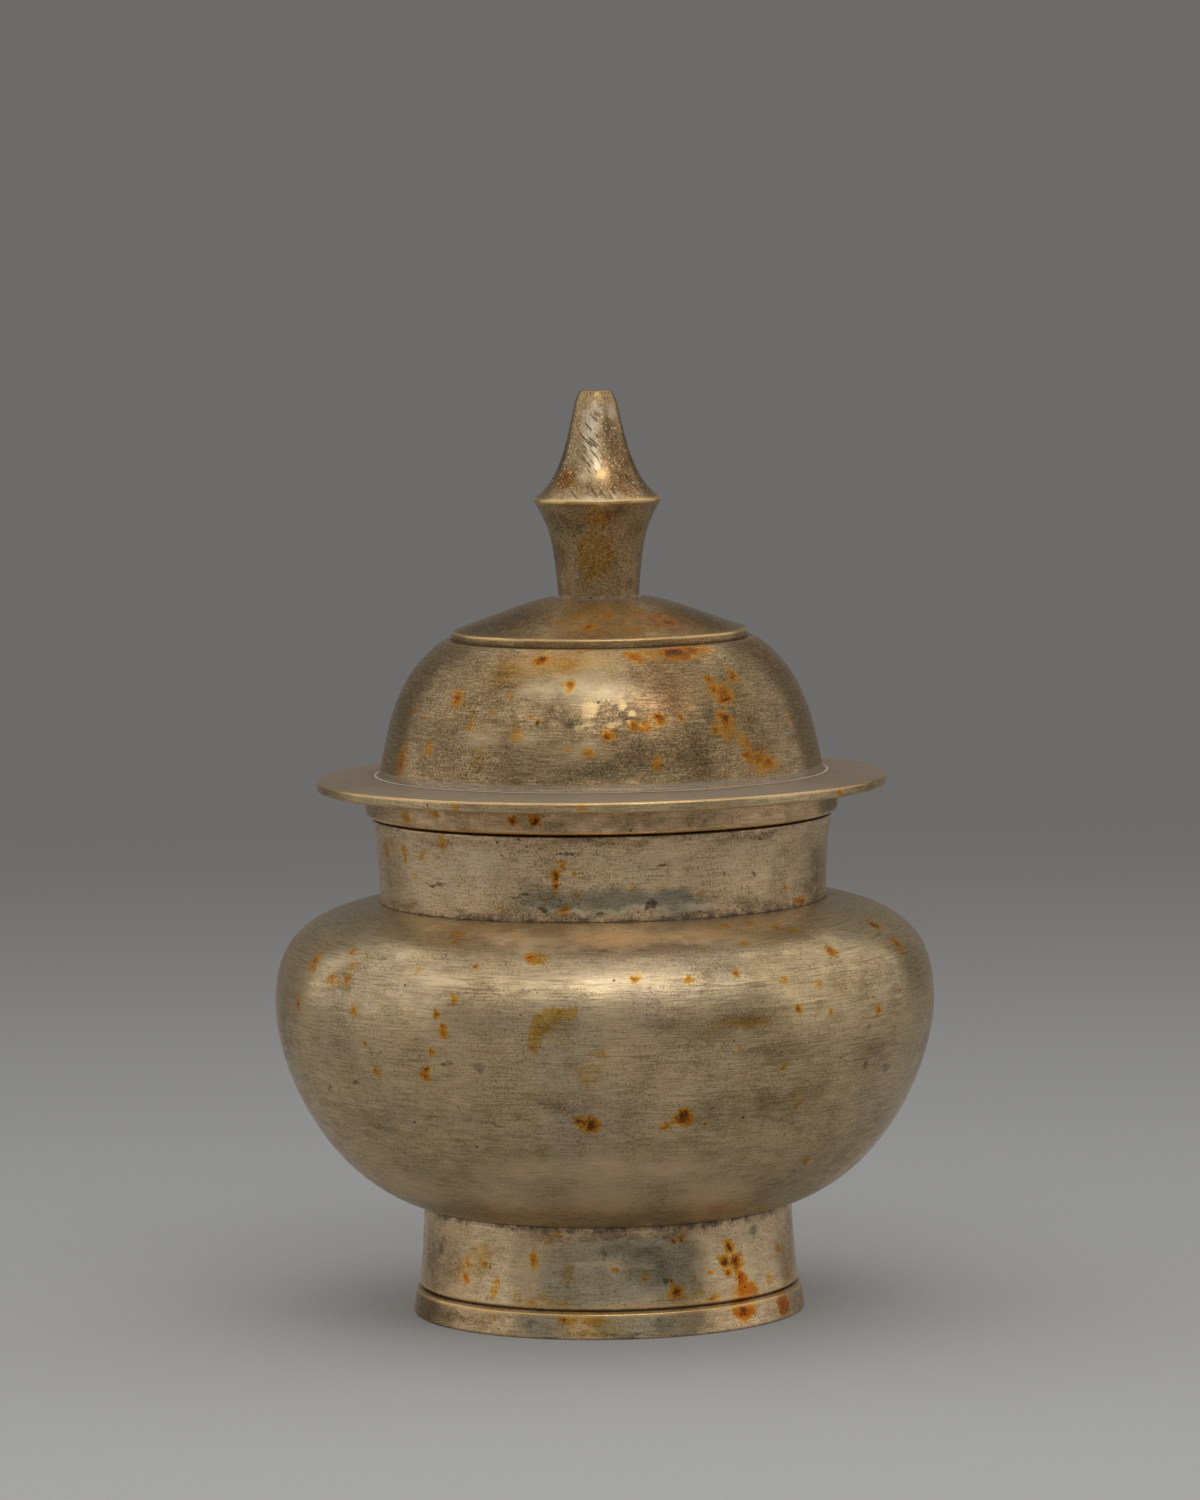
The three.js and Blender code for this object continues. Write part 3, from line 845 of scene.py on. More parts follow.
    def wear_and_soil(self):
        """Worn edges, bloom, dust in the corners, soil and grime in the seams, and dull inner walls."""
        wear = self.times(self.mark("worn"), self.ramp(self.lines(*BAND_LINES), 0.3, 0.55, 0.55, 1.0))
        self.cover(wear, "gold", 0.26)
        level = self.total((self.mark("bloom"), 1.0), (self.blotch, 0.6), (self.grain, 0.4))
        bloom = self.ramp(level, 0.7, 1.7, 0.0, 0.95)
        self.cover(bloom, "bloom")
        self.roughen(bloom, 0.2)
        level = self.total((self.mark("dust"), 1.0), (self.blotch, 0.3), (self.grain, 0.3))
        dust = self.ramp(level, 0.5, 1.1, 0.0, 0.95)
        self.cover(dust, "dust", 0.6)
        noises = self.total((self.rags[0], 1.2), (self.cloud, 0.8), (self.grain, 0.5))
        level = self.math("ADD", self.mark("soil"), noises)
        self.soil = self.ramp(level, 1.55, 2.1, 0.0, 0.92)
        self.cover(self.soil, "soil", 0.55)
        grime = self.ramp(self.total((self.mark("grime"), 1.0), (self.rags[0], 0.8)), 0.75, 1.1)
        self.cover(grime, "grime", 0.7)
        self.lower_metal(self.most(dust, self.times(bloom, 0.5), grime, self.times(self.soil, 0.7)), 0.9)
        inside = self.mark("inside")
        self.cover(self.times(inside, 0.75), "hollow")
        self.roughen(inside, 0.16)

    def finish(self):
        """Joins the colour, the roughness, the metal and a fine relief."""
        look = self.look
        relief = self.total((self.hair_lines, 0.3), (self.fine_lines, 0.45), (self.wide_lines, 0.8))
        relief = self.total((relief, look.lines), (self.grain, 0.4 * look.grain))
        relief = self.total((relief, 1.0), (self.scores, -0.2 * look.lines), (self.pits, -0.5))
        relief = self.total((relief, 1.0), (self.amber, 0.2), (self.soil, 0.4))
        brass = {
            "Base Color": self.colour,
            "Metallic": self.metal,
            "Roughness": self.roughness,
            "Normal": self.first("ShaderNodeBump", {"Height": relief, "Strength": 0.9, "Distance": RELIEF}),
            "Tangent": self.vector("CROSS_PRODUCT", (0.0, 0.0, 1.0), self.outwards),
            "Anisotropic": 0.7,
            "Specular IOR Level": 0.25,
            "Anisotropic Rotation": 0.25,
            "Specular Tint": (0.95, 0.9, 0.8, 1.0),
        }
        surface = self.first("ShaderNodeBsdfPrincipled", brass)
        self.add("ShaderNodeOutputMaterial", {"Surface": surface})


# Spots strewn over the far side: where they lie, and how they vary
FAR_TURNS = (80.0, 280.0)
FAR_SIZES = (0.3, 1.0)
FAR_DRIPS = (0.6, 1.6)
FAR_SHRINKAGE = (0.4, 0.8)
TURN_DRIFT = 5.0
HEIGHT_DRIFT = 2.0
DEEP_CHANCE = 0.3


def far_spots(seed, places, low, high, largest):
    """Tarnish spots strewn over the side away from the camera, one to three at a place."""
    chance = random.Random(seed)
    spots = []
    for _ in range(places):
        turn = chance.uniform(*FAR_TURNS)
        height = chance.uniform(low, high)
        size = largest * chance.uniform(*FAR_SIZES)
        for _ in range(chance.randint(1, 3)):
            drip = chance.uniform(*FAR_DRIPS)
            spots.append(Spot(turn, height, size, drip, deep=chance.random() < DEEP_CHANCE))
            turn += chance.uniform(-TURN_DRIFT, TURN_DRIFT)
            height = min(max(height + chance.uniform(-HEIGHT_DRIFT, HEIGHT_DRIFT), low), high)
            size *= chance.uniform(*FAR_SHRINKAGE)
    return spots


# Tarnish spots and patches, read off the pot, and spots strewn over its far side
FOOT_SPOTS = [
    deep(39.5, 11.1, 1.2), deep(42.5, 8.9, 1.6), deep(37.5, 9.2, 1.1), Spot(39, 7.8, 0.7),
    deep(43.5, 6.9, 0.8, 1.8), Spot(45.5, 4.7, 2.8, 0.75), Spot(-23.5, 10.3, 0.8, 1.5),
    Spot(-48, 9.3, 0.5, 1.8), Spot(-49, 6.9, 0.6, 1.5), Spot(-41, 9.1, 0.5), Spot(-37, 5.8, 0.7, 1.6),
    Spot(-36, 7, 0.5), Spot(-28.5, 5.2, 0.7, 1.0, ring=True), Spot(-24, 4.6, 1.0, 0.4),
    Spot(1.5, 9.2, 0.6, 0.8), Spot(10.5, 8.8, 0.5, 1.4), Spot(11, 7.9, 0.5), deep(19, 7.1, 0.5, 1.7),
    deep(20.5, 5.8, 1.4, 0.7), Spot(26.5, 7.3, 0.6, 1.0, ring=True), Spot(32, 8, 0.6),
    Spot(20.5, 12.7, 0.4, 1.4), Spot(23, 12.9, 0.5, 1.3), Spot(-15.5, 14.1, 0.5), Spot(64.5, 9.5, 0.9),
    Spot(71, 6, 0.8, 1.6), Spot(57.5, 5.9, 1.0), Spot(32.5, 4.6, 1.3, 0.45), Spot(-66.5, 4.4, 0.7),
    deep(128, 9, 1.0), Spot(131, 7, 0.7, 1.8), Spot(170, 5, 0.8), deep(-140, 10, 1.1),
    Spot(-112, 6, 0.7, 1.5), Spot(45.8, 4.5, 2.0, 0.8), *far_spots(11, 7, 5, 13, 1.9),
]
FOOT_DRIP = [(45.5, 4.6, 2.3, 0.7), (44.4, 6.3, 1.1, 1.4)]
FOOT_PATCHES = [
    # Painted reflection: the cold grey of the room in front across the foot's front, and a copy on its far
    # side
    Patch("painted_cold_reflection", 0.75, [
        (4, 9.2, 12.2, 0.44), (-9, 8.6, 7, 0.8), (17, 9, 6.6, 0.85), (172, 9, 9, 0.45),
    ], 0.35, "even"),
    # Painted reflection: the darker middle where the foot mirrors the room in front
    Patch("painted_dark_reflection", 0.35, [(22, 9.6, 5.2, 0.75), (8, 11.5, 8, 0.14), (28, 8.5, 2.4, 2)], 0.5, "even"),
    # Painted reflection: lighter bands beside the foot's dark middle
    Patch("blush", 0.45, [(-4, 9.9, 5.5, 0.08), (6, 9.4, 5, 0.08)], 0.6),
    Patch("mauve", 0.9, [(2, 13.6, 8, 0.13), (-16, 13.5, 5, 0.16), (18, 13.6, 6, 0.14)], 0.6),
    # More painted reflection: the darker middle on the foot
    Patch("painted_dark_reflection", 0.5, [(12, 9.2, 4.2, 0.9)], 0.5, "even"),
    # More painted reflection: lighter bands on the foot
    Patch("blush", 0.4, [(-24, 9.5, 4, 1.2), (31, 8.5, 2.5, 1.5)], 0.8),
    # Painted shade on the foot's left and right sides
    Patch("shade", 1.0, [(-74, 9, 8, 1.2), (-56, 9.5, 4, 1.5), (78, 9, 8, 1.2)], 1.0),
    Patch("shade", 0.6, [(-67, 8, 7), (70, 7.5, 6)], 0.9),
    Patch("ochre", 0.8, [
        (-12.5, 8.9, 1.5, 1.2), (-19, 13.2, 0.8), (-17, 5, 4, 0.2), (22, 5.2, 5, 0.2), (-50, 8, 3),
        (-42, 10, 3),
    ]),
    Patch("moss", 0.95, [
        (-2, 11, 0.7, 1.3), (-62.5, 11.4, 1.1), (-64, 9.8, 1.2), (50, 12.5, 1.2), (17, 7.5, 0.6, 1.6),
    ]),
    Patch("straw", 1.0, FOOT_DRIP, 0.25, "even"),
    Patch("amber", 0.95, FOOT_DRIP, 0.35, "even"),
]
BAND_SPOTS = [
    Spot(43.5, 2.4, 2.4, 0.75), Spot(63, 2, 2.0, 0.9), Spot(63, 2.1, 1.9, 0.9, ring=True, deep=True),
    Spot(-13, 2.5, 0.7, 0.5), Spot(-67, 2.8, 0.7), deep(150, 2.2, 1.5, 0.8), Spot(-120, 2.2, 1.2, 0.7),
    Spot(-36, 2.4, 0.4), Spot(43.5, 2.3, 2.0, 0.7), *far_spots(12, 4, 1, 3, 1.5),
]
BAND_DRIP = [(43.5, 2.7, 2.3, 0.7), (62.5, 2.4, 1.7, 0.9)]
BAND_PATCHES = [
    # Painted reflection: the cold grey of the room in front across the band
    Patch("painted_cold_reflection", 0.8, [(-20, 2, 4.5, 0.5), (6, 2, 7, 0.4)], 0.4, "even"),
    # Painted reflection: the darker middle on the band
    Patch("painted_dark_reflection", 0.6, [(21, 2.2, 4.6, 0.5)], 0.3, "even"),
    Patch("ochre", 0.9, [(-6, 2, 6, 0.5)]),
    Patch("straw", 1.0, [(-13, 2.5, 1.4, 0.6), (-7, 2, 1.3, 0.6), (-3, 2.4, 1.4, 0.8)], 0.4, "even"),
    Patch("moss", 0.9, [(-23.5, 1.8, 0.8, 0.8), (-75, 2, 2)]),
    # Painted shade on the band's sides, and a thin painted contact shadow along its foot
    Patch("shade", 1.0, [(-64, 1.6, 7, 0.8), (-84, 2, 8)], 0.6, "even"),
    Patch("shade", 0.7, [(-38, 2, 6, 0.8), (64, 2, 6)], 0.9),
    Patch("shade", 0.7, [(-60, 1, 8, 0.8), (54, 0.8, 6, 0.8)], 0.9),
    Patch("shade", 0.9, [(-52, 1.4, 7, 0.12), (-72, 1.8, 7, 0.6), (0, 0.5, 12, 0.03), (80, 2, 6)]),
    Patch("straw", 1.0, BAND_DRIP, 0.25, "even"),
    Patch("amber", 0.85, BAND_DRIP, 0.35, "even"),
]
BELLY_SPOTS = [
    Spot(-12.2, 52.6, 1.7, 0.7), deep(-14, 52.8, 1.0, 0.7), Spot(-32.5, 55, 1.4, 0.5),
    Spot(-31, 54.3, 0.5), Spot(-54, 52.2, 0.9), Spot(-51.5, 50.5, 0.8, 1.3), Spot(-63.8, 50.2, 1.2, 1.8),
    Spot(-56, 48.6, 1.2, 0.9), Spot(-51, 48.8, 0.8, 1.2), Spot(-53.5, 48.5, 0.5, 1.6),
    Spot(-35, 50.6, 0.5), Spot(-23.5, 51.6, 0.5), Spot(-26.5, 47.4, 0.6, 1.5), deep(-29.7, 45.6, 0.6, 1.2),
    Spot(-28.3, 43.1, 0.8, 1.3), deep(-28.3, 43.8, 0.7), Spot(-30.7, 40.6, 0.5, 1.3),
    Spot(-32.3, 37.2, 0.9, 1.5), Spot(-43, 37, 0.6, 1.5), Spot(-45, 40.7, 0.5, 0.7),
    Spot(-48, 44.9, 0.7, 1.3), Spot(-66.5, 44.5, 0.7, 2.5), Spot(28, 55.5, 0.9, 0.6),
    Spot(42, 54.6, 1.1, 0.6), Spot(39, 54.9, 0.8, 0.6), Spot(28, 53.8, 0.7), Spot(19, 53.2, 0.6),
    Spot(46, 51.8, 1.1), deep(67, 53.7, 1.5), Spot(68, 51, 1.3, 1.6), Spot(5.3, 50.3, 0.9, 0.7),
    Spot(14.7, 49.9, 0.9), Spot(23.5, 50.5, 0.6), Spot(32.7, 48.9, 0.7), Spot(39.4, 48.1, 0.8),
    Spot(34.7, 45.3, 0.8), Spot(41.4, 44.3, 0.6), Spot(54, 43.3, 0.9), Spot(32, 37.7, 0.6),
    Spot(23, 40.6, 0.5), deep(-3, 31.1, 1.6, 0.9), deep(13.6, 31.7, 1.7), Spot(-7.5, 46.3, 0.4),
    Spot(105, 50, 1.2, 1.4), Spot(118, 46, 0.8), deep(140, 51, 1.4, 0.7), Spot(165, 44, 0.9, 1.4),
    Spot(-105, 47, 1.0), deep(-128, 52, 1.3, 0.7), Spot(-150, 41, 0.8, 1.4), deep(-176, 34, 1.4),
    Spot(122, 33, 1.2), deep(-32.3, 37.8, 0.6), deep(-43, 37.2, 0.4, 1.5), deep(-4.6, 31.6, 1.0, 0.7),
    deep(14.2, 32.2, 0.9), Spot(10.6, 30.6, 0.9, 0.8), *far_spots(13, 12, 24, 55, 1.6),
]
BELLY_PATCHES = [
    # Painted highlight and painted reflection: the shoulder that mirrors the neck, the band of the key
    # light's highlight, and the low belly that mirrors the floor, made lighter
    Patch("blush", 0.9, [(0, 54.8, 11, 0.16), (-18, 54.8, 8, 0.16), (18, 54.7, 9, 0.16)], 0.9),
    Patch("blush", 0.4, [(4, 50.4, 11, 0.2), (-14, 50.2, 10, 0.16), (-34, 50, 8, 0.2)], 0.9),
    Patch("blush", 0.6, [(turn, 20, 9, 0.45) for turn in (-48, -24, 0, 24)], 0.9),
    Patch("blush", 0.55, [(turn, 24.5, 9, 0.4) for turn in (-16, -2, 12)], 0.9),
    Patch("blush", 0.6, [(-13, 54, 6, 0.25), (25, 54.2, 6, 0.25), (-29, 49.7, 6, 0.3)], 0.9),
    Patch("ochre", 1.0, [
        (-11.8, 42.6, 1.3, 1.8), (-10.9, 44.6, 1.4), (-8.7, 46, 1.6, 0.9), (-5.9, 46.2, 1.4, 0.7),
    ], 0.3, "even"),
    Patch("ochre", 0.5, [(-8, 44.2, 2.8)], 0.9),
    Patch("ochre", 0.9, [
        (-2.5, 37.8, 2.4), (-1, 40.6, 1.8), (36, 33, 2.0), (24, 44, 7, 0.2), (168, 42, 2.2),
        (-118, 46, 2.4, 0.6),
    ], 0.8),
    Patch("copper", 0.4, [(-1, 54.9, 6, 0.3), (24, 55.2, 4, 0.4)]),
    Patch("mauve", 0.35, [(-60, 30, 8, 0.5), (-20, 27, 9, 0.4), (15, 27, 8, 0.4), (40, 30, 7, 0.4)]),
    # Painted shade and painted reflection: the dark reflections below the highlight and the darker sides,
    # with some dark patina on the far side
    Patch("shade", 0.75, [
        (-9, 44.5, 5, 0.4), (12, 44.4, 8, 0.3), (25, 44.4, 8, 0.3), (16, 42.6, 9, 0.3), (30, 40, 9, 0.4),
        (36, 34, 9, 0.4), (24, 31, 8, 0.35), (55, 38, 7, 0.6), (-8, 34, 8, 0.3), (-46, 30, 7, 0.4),
        (28, 33.5, 8, 0.45), (40, 54, 6, 0.3), (-54, 49, 5, 0.6), (56, 48.5, 6, 0.6), (70, 48, 8, 0.7),
        (66, 27, 9), (76, 36, 9), (-76, 40, 8), (150, 44, 8, 0.3), (-125, 38, 9, 0.4), (178, 33, 9, 0.4),
    ], 1.0),
    Patch("soil", 0.7, [
        (51.5, 36.5, 0.8), (59, 35.3, 0.9), (51, 41.3, 0.6), (-59, 33.8, 0.7, 0.6), (-22, 38.5, 1.2, 0.5),
        (-28, 38.9, 1.2, 0.35), (-49, 35, 0.6), (-0.5, 53.6, 0.8, 0.4), (-20, 31, 0.8, 0.6),
        (-40, 53.9, 0.7, 0.4),
    ], 0.4),
    # More painted shade where the belly turns away to the sides and below
    Patch("shade", 0.5, [
        (47, 47.4, 6, 0.5), (62, 46.4, 7, 0.7), (20.3, 32.5, 6, 0.5), (32.5, 31.8, 6, 0.5),
        (56.5, 21.5, 8, 0.7), (-53, 48, 5, 0.5),
    ], 0.9),
    Patch("umber", 0.45, [(turn, 49.4, 9, 0.28) for turn in range(-44, 70, 12)], 0.6, "scores"),
    Patch("umber", 0.35, [(30, 38, 12, 0.6), (50, 42, 9), (5, 40, 12, 0.3)], 0.6, "scores"),
]
NECK_SPOTS = [
    Spot(-43, 66.5, 0.9, 1.6), Spot(-71, 64, 0.9, 2), Spot(-66, 64.7, 0.6, 1.8), Spot(-59.5, 63.7, 0.5, 2),
    Spot(-51.5, 64.3, 0.6), Spot(-55.5, 61.2, 0.5), deep(-12, 62.3, 0.9, 1.3), deep(-11.7, 61, 0.6, 1.3),
    Spot(-10.3, 64, 0.6, 1.5), Spot(-7, 62.8, 0.5), Spot(-14.4, 59, 0.4), Spot(-10, 57.8, 1.0, 0.7),
    Spot(53.3, 59.2, 0.5, 1.4), deep(60, 56.9, 1.6, 0.45), Spot(115, 62, 0.9, 1.5),
    deep(-130, 63, 1.0, 1.4), Spot(160, 59, 0.8), *far_spots(14, 6, 58, 66, 1.2),
]
NECK_PATCHES = [
    # Painted reflection: the cold grey of the room in front low on the neck, and a copy on its far side
    Patch("painted_cold_reflection", 0.9, [
        (2, 58.9, 12, 0.2), (-13, 58.6, 8, 0.28), (18, 58.7, 7.5, 0.3), (-160, 59, 9, 0.22),
    ], 0.7, "even"),
    # Painted reflection: the darker middle low on the neck
    Patch("painted_dark_reflection", 0.45, [
        (-12, 59.5, 6, 0.4), (3, 59.4, 8, 0.28), (16, 59.1, 6, 0.3), (-18, 60.6, 3, 0.7),
    ], 0.7, "even"),
    # Painted reflection: lighter places where the neck mirrors the side softboxes
    Patch("silver", 0.35, [(-32, 64, 4.5, 0.9)], 1.0),
    Patch("pale", 0.35, [(35, 63.5, 4, 1.2), (14, 65, 5, 0.5)], 0.9),
    # Painted shade on the neck's sides
    Patch("shade", 0.55, [(51, 62, 5, 1.3), (-72, 63, 7, 1.2), (80, 61, 9)], 0.9),
    Patch("shade", 0.6, [(70, 58.6, 5)], 0.9),
    Patch("silver", 0.4, [(8, 57.9, 7, 0.07), (-9, 57.6, 5, 0.08), (24, 58.2, 4, 0.2)], 0.6),
    Patch("ochre", 0.9, [
        (-6, 59.5, 0.9, 1.6), (7, 60.7, 0.9), (25, 60, 0.8), (-26.5, 58, 1.2, 0.5), (-12, 60, 0.7, 1.4),
    ]),
    Patch("filth", 0.95, [
        (11.7, 58.4, 1.1), (10.6, 57.8, 0.6), (-15.8, 57.5, 1.2, 0.3), (0, 57.4, 0.8, 0.6),
        (32, 61.9, 0.4), (40.5, 61.6, 0.4), (-21, 67, 0.4), (14.5, 63.4, 1.6, 0.12), (-8, 65.4, 1.8, 0.12),
        (-48, 60.6, 3, 0.08), (-22, 59.8, 2, 0.07),
    ], 0.4),
    # Darker at the neck's foot and under the lid's ring: painted shade and brown dirt
    Patch("shade", 0.9, [
        (-8, 57, 6, 0.1), (22, 57.1, 6, 0.1), (-32, 57, 8, 0.1), (-62, 57.1, 8, 0.14), (44, 57.6, 8, 0.2),
        (62, 58.2, 8, 0.3), (72, 60, 7), (0, 67, 14, 0.05), (40, 66.8, 9, 0.08),
    ], 0.8),
    Patch("mauve", 0.6, [(62, 62, 6), (-64, 60, 5), (-40, 66.5, 10, 0.08)]),
]
RING_SPOTS = [
    deep(-21.5, 69.8, 0.8), deep(-16, 70, 1.0), Spot(-54.5, 69.2, 0.8, 1.4), Spot(-44, 70.4, 0.9, 0.7),
    Spot(125, 70, 0.9), Spot(-160, 69.8, 1.1, 1.0, ring=True), *far_spots(15, 3, 69.2, 70.6, 0.9),
]
RING_PATCHES = [
    # Painted shade on the ring's left and right ends
    Patch("shade", 1.0, [(-78, 69.8, 9), (76, 69.8, 9)], 1.0),
]
BRIM_SPOTS = [
    Spot(-4, 72.3, 1.1, 0.6), Spot(55, 72.2, 0.9, 0.8), Spot(-30, 72.2, 0.7), Spot(140, 72.2, 1.0),
]
BRIM_PATCHES = [
    # Painted shade on the brim's left and right ends
    Patch("shade", 1.0, [(64, 72.2, 14), (-74, 72.2, 11)], 1.0),
]
DOME_SPOTS = [
    deep(-20, 90.2, 1.2, 0.7), Spot(-7, 91.2, 0.4), deep(-9, 87.2, 0.9, 1.1), Spot(-45, 85.2, 1.1, 1.6),
    Spot(-27, 85.8, 0.6), Spot(-31.5, 83.9, 0.5, 1.5), Spot(-63.5, 83.1, 1.0, 0.8),
    Spot(-57, 82.4, 0.5, 1.8), Spot(-20, 83.3, 0.5, 1.2), deep(-17, 82.6, 0.4), Spot(-23, 80.5, 0.9, 1.1),
    Spot(-52, 78.4, 0.9, 1.6), Spot(-38, 81.7, 0.7, 1.2), deep(2.4, 80.8, 1.0, 0.8),
    Spot(12, 81.8, 0.9, 0.8), deep(16, 82.8, 1.0, 0.9), Spot(22.5, 82.9, 0.6, 1.2), Spot(25.7, 84.1, 0.4),
    Spot(-9, 78.9, 0.6, 0.7), Spot(-3, 78.5, 0.8), Spot(14.5, 77, 0.9, 1.6), Spot(44, 87.6, 1.2, 1.1),
    Spot(35.7, 86.1, 1.6, 0.7), deep(38, 84.7, 1.3, 0.7), Spot(35, 87.3, 0.9, 1.3),
    deep(36.3, 82.3, 1.2, 0.8), Spot(35, 80.4, 1.7, 0.8), Spot(32, 80.9, 0.8), Spot(42, 78.7, 0.9, 1.4),
    Spot(41.5, 77.2, 1.0), Spot(48, 75.9, 2.6, 0.5), Spot(63, 81.3, 0.7, 1.6), Spot(12, 90.7, 1.5, 0.7),
    Spot(13.7, 90, 0.6, 1.3), Spot(18, 90.9, 1.3, 0.6), deep(28, 90.8, 2.7, 0.5), Spot(40, 91.1, 1.9, 0.5),
    Spot(-65, 76.5, 1.5, 2.0), Spot(100, 85, 1.3), Spot(112, 79, 1.0, 1.6), deep(150, 88, 1.5, 0.7),
    Spot(172, 81, 1.0), Spot(-100, 88, 1.2, 0.7), Spot(-125, 80, 1.1, 1.5), Spot(-158, 84, 0.9),
    Spot(38, 85.6, 2.0, 0.7), Spot(36, 81.6, 1.7, 1.2), Spot(40, 79.4, 1.2), Spot(45, 76.6, 1.8, 0.7),
    Spot(22.5, 90.9, 1.6, 0.5), Spot(34.5, 91, 1.9, 0.5), Spot(9, 82, 1.2, 0.7),
    *far_spots(16, 10, 76, 91, 1.8),
]
DOME_PATCHES = [
    # Painted shade on the dome's right and left sides
    Patch("shade", 0.62, [(58, 84, 14), (42, 83, 12), (26, 90, 8, 0.5), (50, 79, 8)], 1.0, "even"),
    Patch("shade", 0.54, [(-68, 84, 10), (-50, 89.5, 9, 0.6), (-50, 80, 6, 0.8)], 1.0, "even"),
    Patch("copper", 0.8, [
        (75, 89, 7), (-100, 83, 9), (-24, 90.4, 8, 0.3), (0, 90.6, 8, 0.25), (20, 86, 8),
    ], 1.0),
    Patch("gold", 0.4, [(-16, 89.5, 9, 0.4), (-3, 89.8, 7, 0.4)], 1.0),
    Patch("ochre", 0.7, [(-18, 89.5, 9, 0.4), (-30, 89.4, 7, 0.4)], 1.0),
    # Painted highlight: the key light's highlight on the dome, made lighter and moved up
    Patch("pale", 0.6, [(-17, 86.4, 5, 0.4), (-7, 86.8, 6.5, 0.45), (3, 86.6, 5, 0.45)], 1.0),
    Patch("pale", 0.3, [(-6, 79.4, 4.5, 0.45), (-20, 80.6, 4.5, 0.4), (-34, 80, 5, 0.5)], 1.0),
    # More painted shade on the dome's right side
    Patch("shade", 0.5, [(24, 79.4, 9, 0.6), (46, 87, 6), (44, 80, 6)], 1.0),
    Patch("straw", 0.7, [
        (37, 85.4, 2.8, 0.8), (35.5, 81.3, 2.4, 1.1), (46, 76.6, 3.6, 0.7), (19, 90.7, 4, 0.4),
        (33, 90.9, 4.4, 0.4), (14, 82.3, 2.2, 0.8), (2, 80.8, 1.8), (-45, 85, 1.8, 1.5), (160, 88, 3, 0.6),
        (-130, 80, 2.6),
    ], 0.5),
    Patch("mauve", 0.7, [
        (7, 87, 3.4, 0.7), (14, 87.4, 5, 0.6), (18, 85, 5.5, 0.7), (10, 83.4, 3.4, 0.6), (150, 84, 9),
    ], 0.8),
    Patch("taupe", 1.0, [(5.5, 80.4, 4.2, 0.9), (8.5, 78.4, 4.2, 0.6), (4, 82.8, 4.6, 0.6)], 0.6),
    Patch("moss", 0.8, [
        (0, 76.3, 5.6, 0.32), (-7, 76, 3.5, 0.4), (31, 83.2, 1.8, 1.3), (-8, 82.8, 2.0, 0.5),
        (12, 76.2, 5, 0.2), (-56, 76, 1.2), (130, 76, 5, 0.4), (-150, 76.2, 4.5, 0.3),
    ], 0.6),
    Patch("ochre", 0.8, [
        (-33, 77.6, 2), (-38, 84, 1.6), (-10, 89.4, 3, 0.7), (-24, 82, 1.4), (-30, 88, 4, 0.6),
    ], 0.9),
    Patch("umber", 0.5, [(-13, 83.7, 2.0, 0.6)], 0.4, "scuffs"),
    Patch("flake", 0.85, [
        (-3.2, 84, 1.25, 1.3), (5.8, 84.7, 0.85, 1.4), (8.8, 83.5, 0.6, 1.2), (8.2, 82.2, 0.7, 0.8),
        (2.6, 81.8, 0.8, 0.8), (4.8, 82, 0.5), (-5, 82, 1.4, 0.25), (12, 82, 0.8, 0.7), (-9, 86.6, 1.4),
        (1.6, 80.7, 1.0, 0.8),
    ], 0.5),
]
CAP_SPOTS = [
    Spot(-30.5, 95.2, 1.0, 0.5), Spot(-22, 94.7, 0.8, 0.5), Spot(-12.7, 95.3, 1.1, 0.5),
    Spot(-46, 94.7, 0.8, 0.4), Spot(35.7, 95, 1.4, 0.5), deep(37.4, 94.4, 1.5, 0.4), Spot(17, 93.8, 0.7),
    Spot(5, 95.3, 0.8, 0.5), Spot(-5, 94.2, 1.2, 0.5), Spot(26, 95.6, 1.3, 0.5), Spot(52, 94.6, 1.0, 0.5),
    Spot(110, 94.5, 1.3, 0.5), Spot(-140, 94.8, 1.2, 0.5), *far_spots(17, 3, 94, 95.4, 1.2),
]
CAP_PATCHES = [
    Patch("straw", 1.0, [(-8, 95, 6), (14, 94, 6), (34, 94.4, 6)], 1.0),
    Patch("copper", 0.6, [(30, 94.2, 8), (-10, 93.6, 7), (55, 94, 6)], 1.0),
    # Painted shade on the cap's sides, with some dark patina on its far side
    Patch("shade", 1.0, [(-66, 94, 10), (-42, 94.3, 10), (66, 94.4, 8), (170, 94, 8)], 0.8),
    Patch("ochre", 0.6, [(-30, 94.4, 8), (-4, 94.6, 8), (24, 94.6, 8), (50, 94.4, 8)], 0.8),
    Patch("flake", 0.5, [(-8, 94.7, 6), (8, 94.8, 6)], 1.0),
    # More painted shade on the cap's sides
    Patch("shade", 0.6, [(-46, 94.7, 7), (30, 94.7, 5)], 0.9),
    Patch("mauve", 0.5, [(8, 94.6, 2.4)]),
]
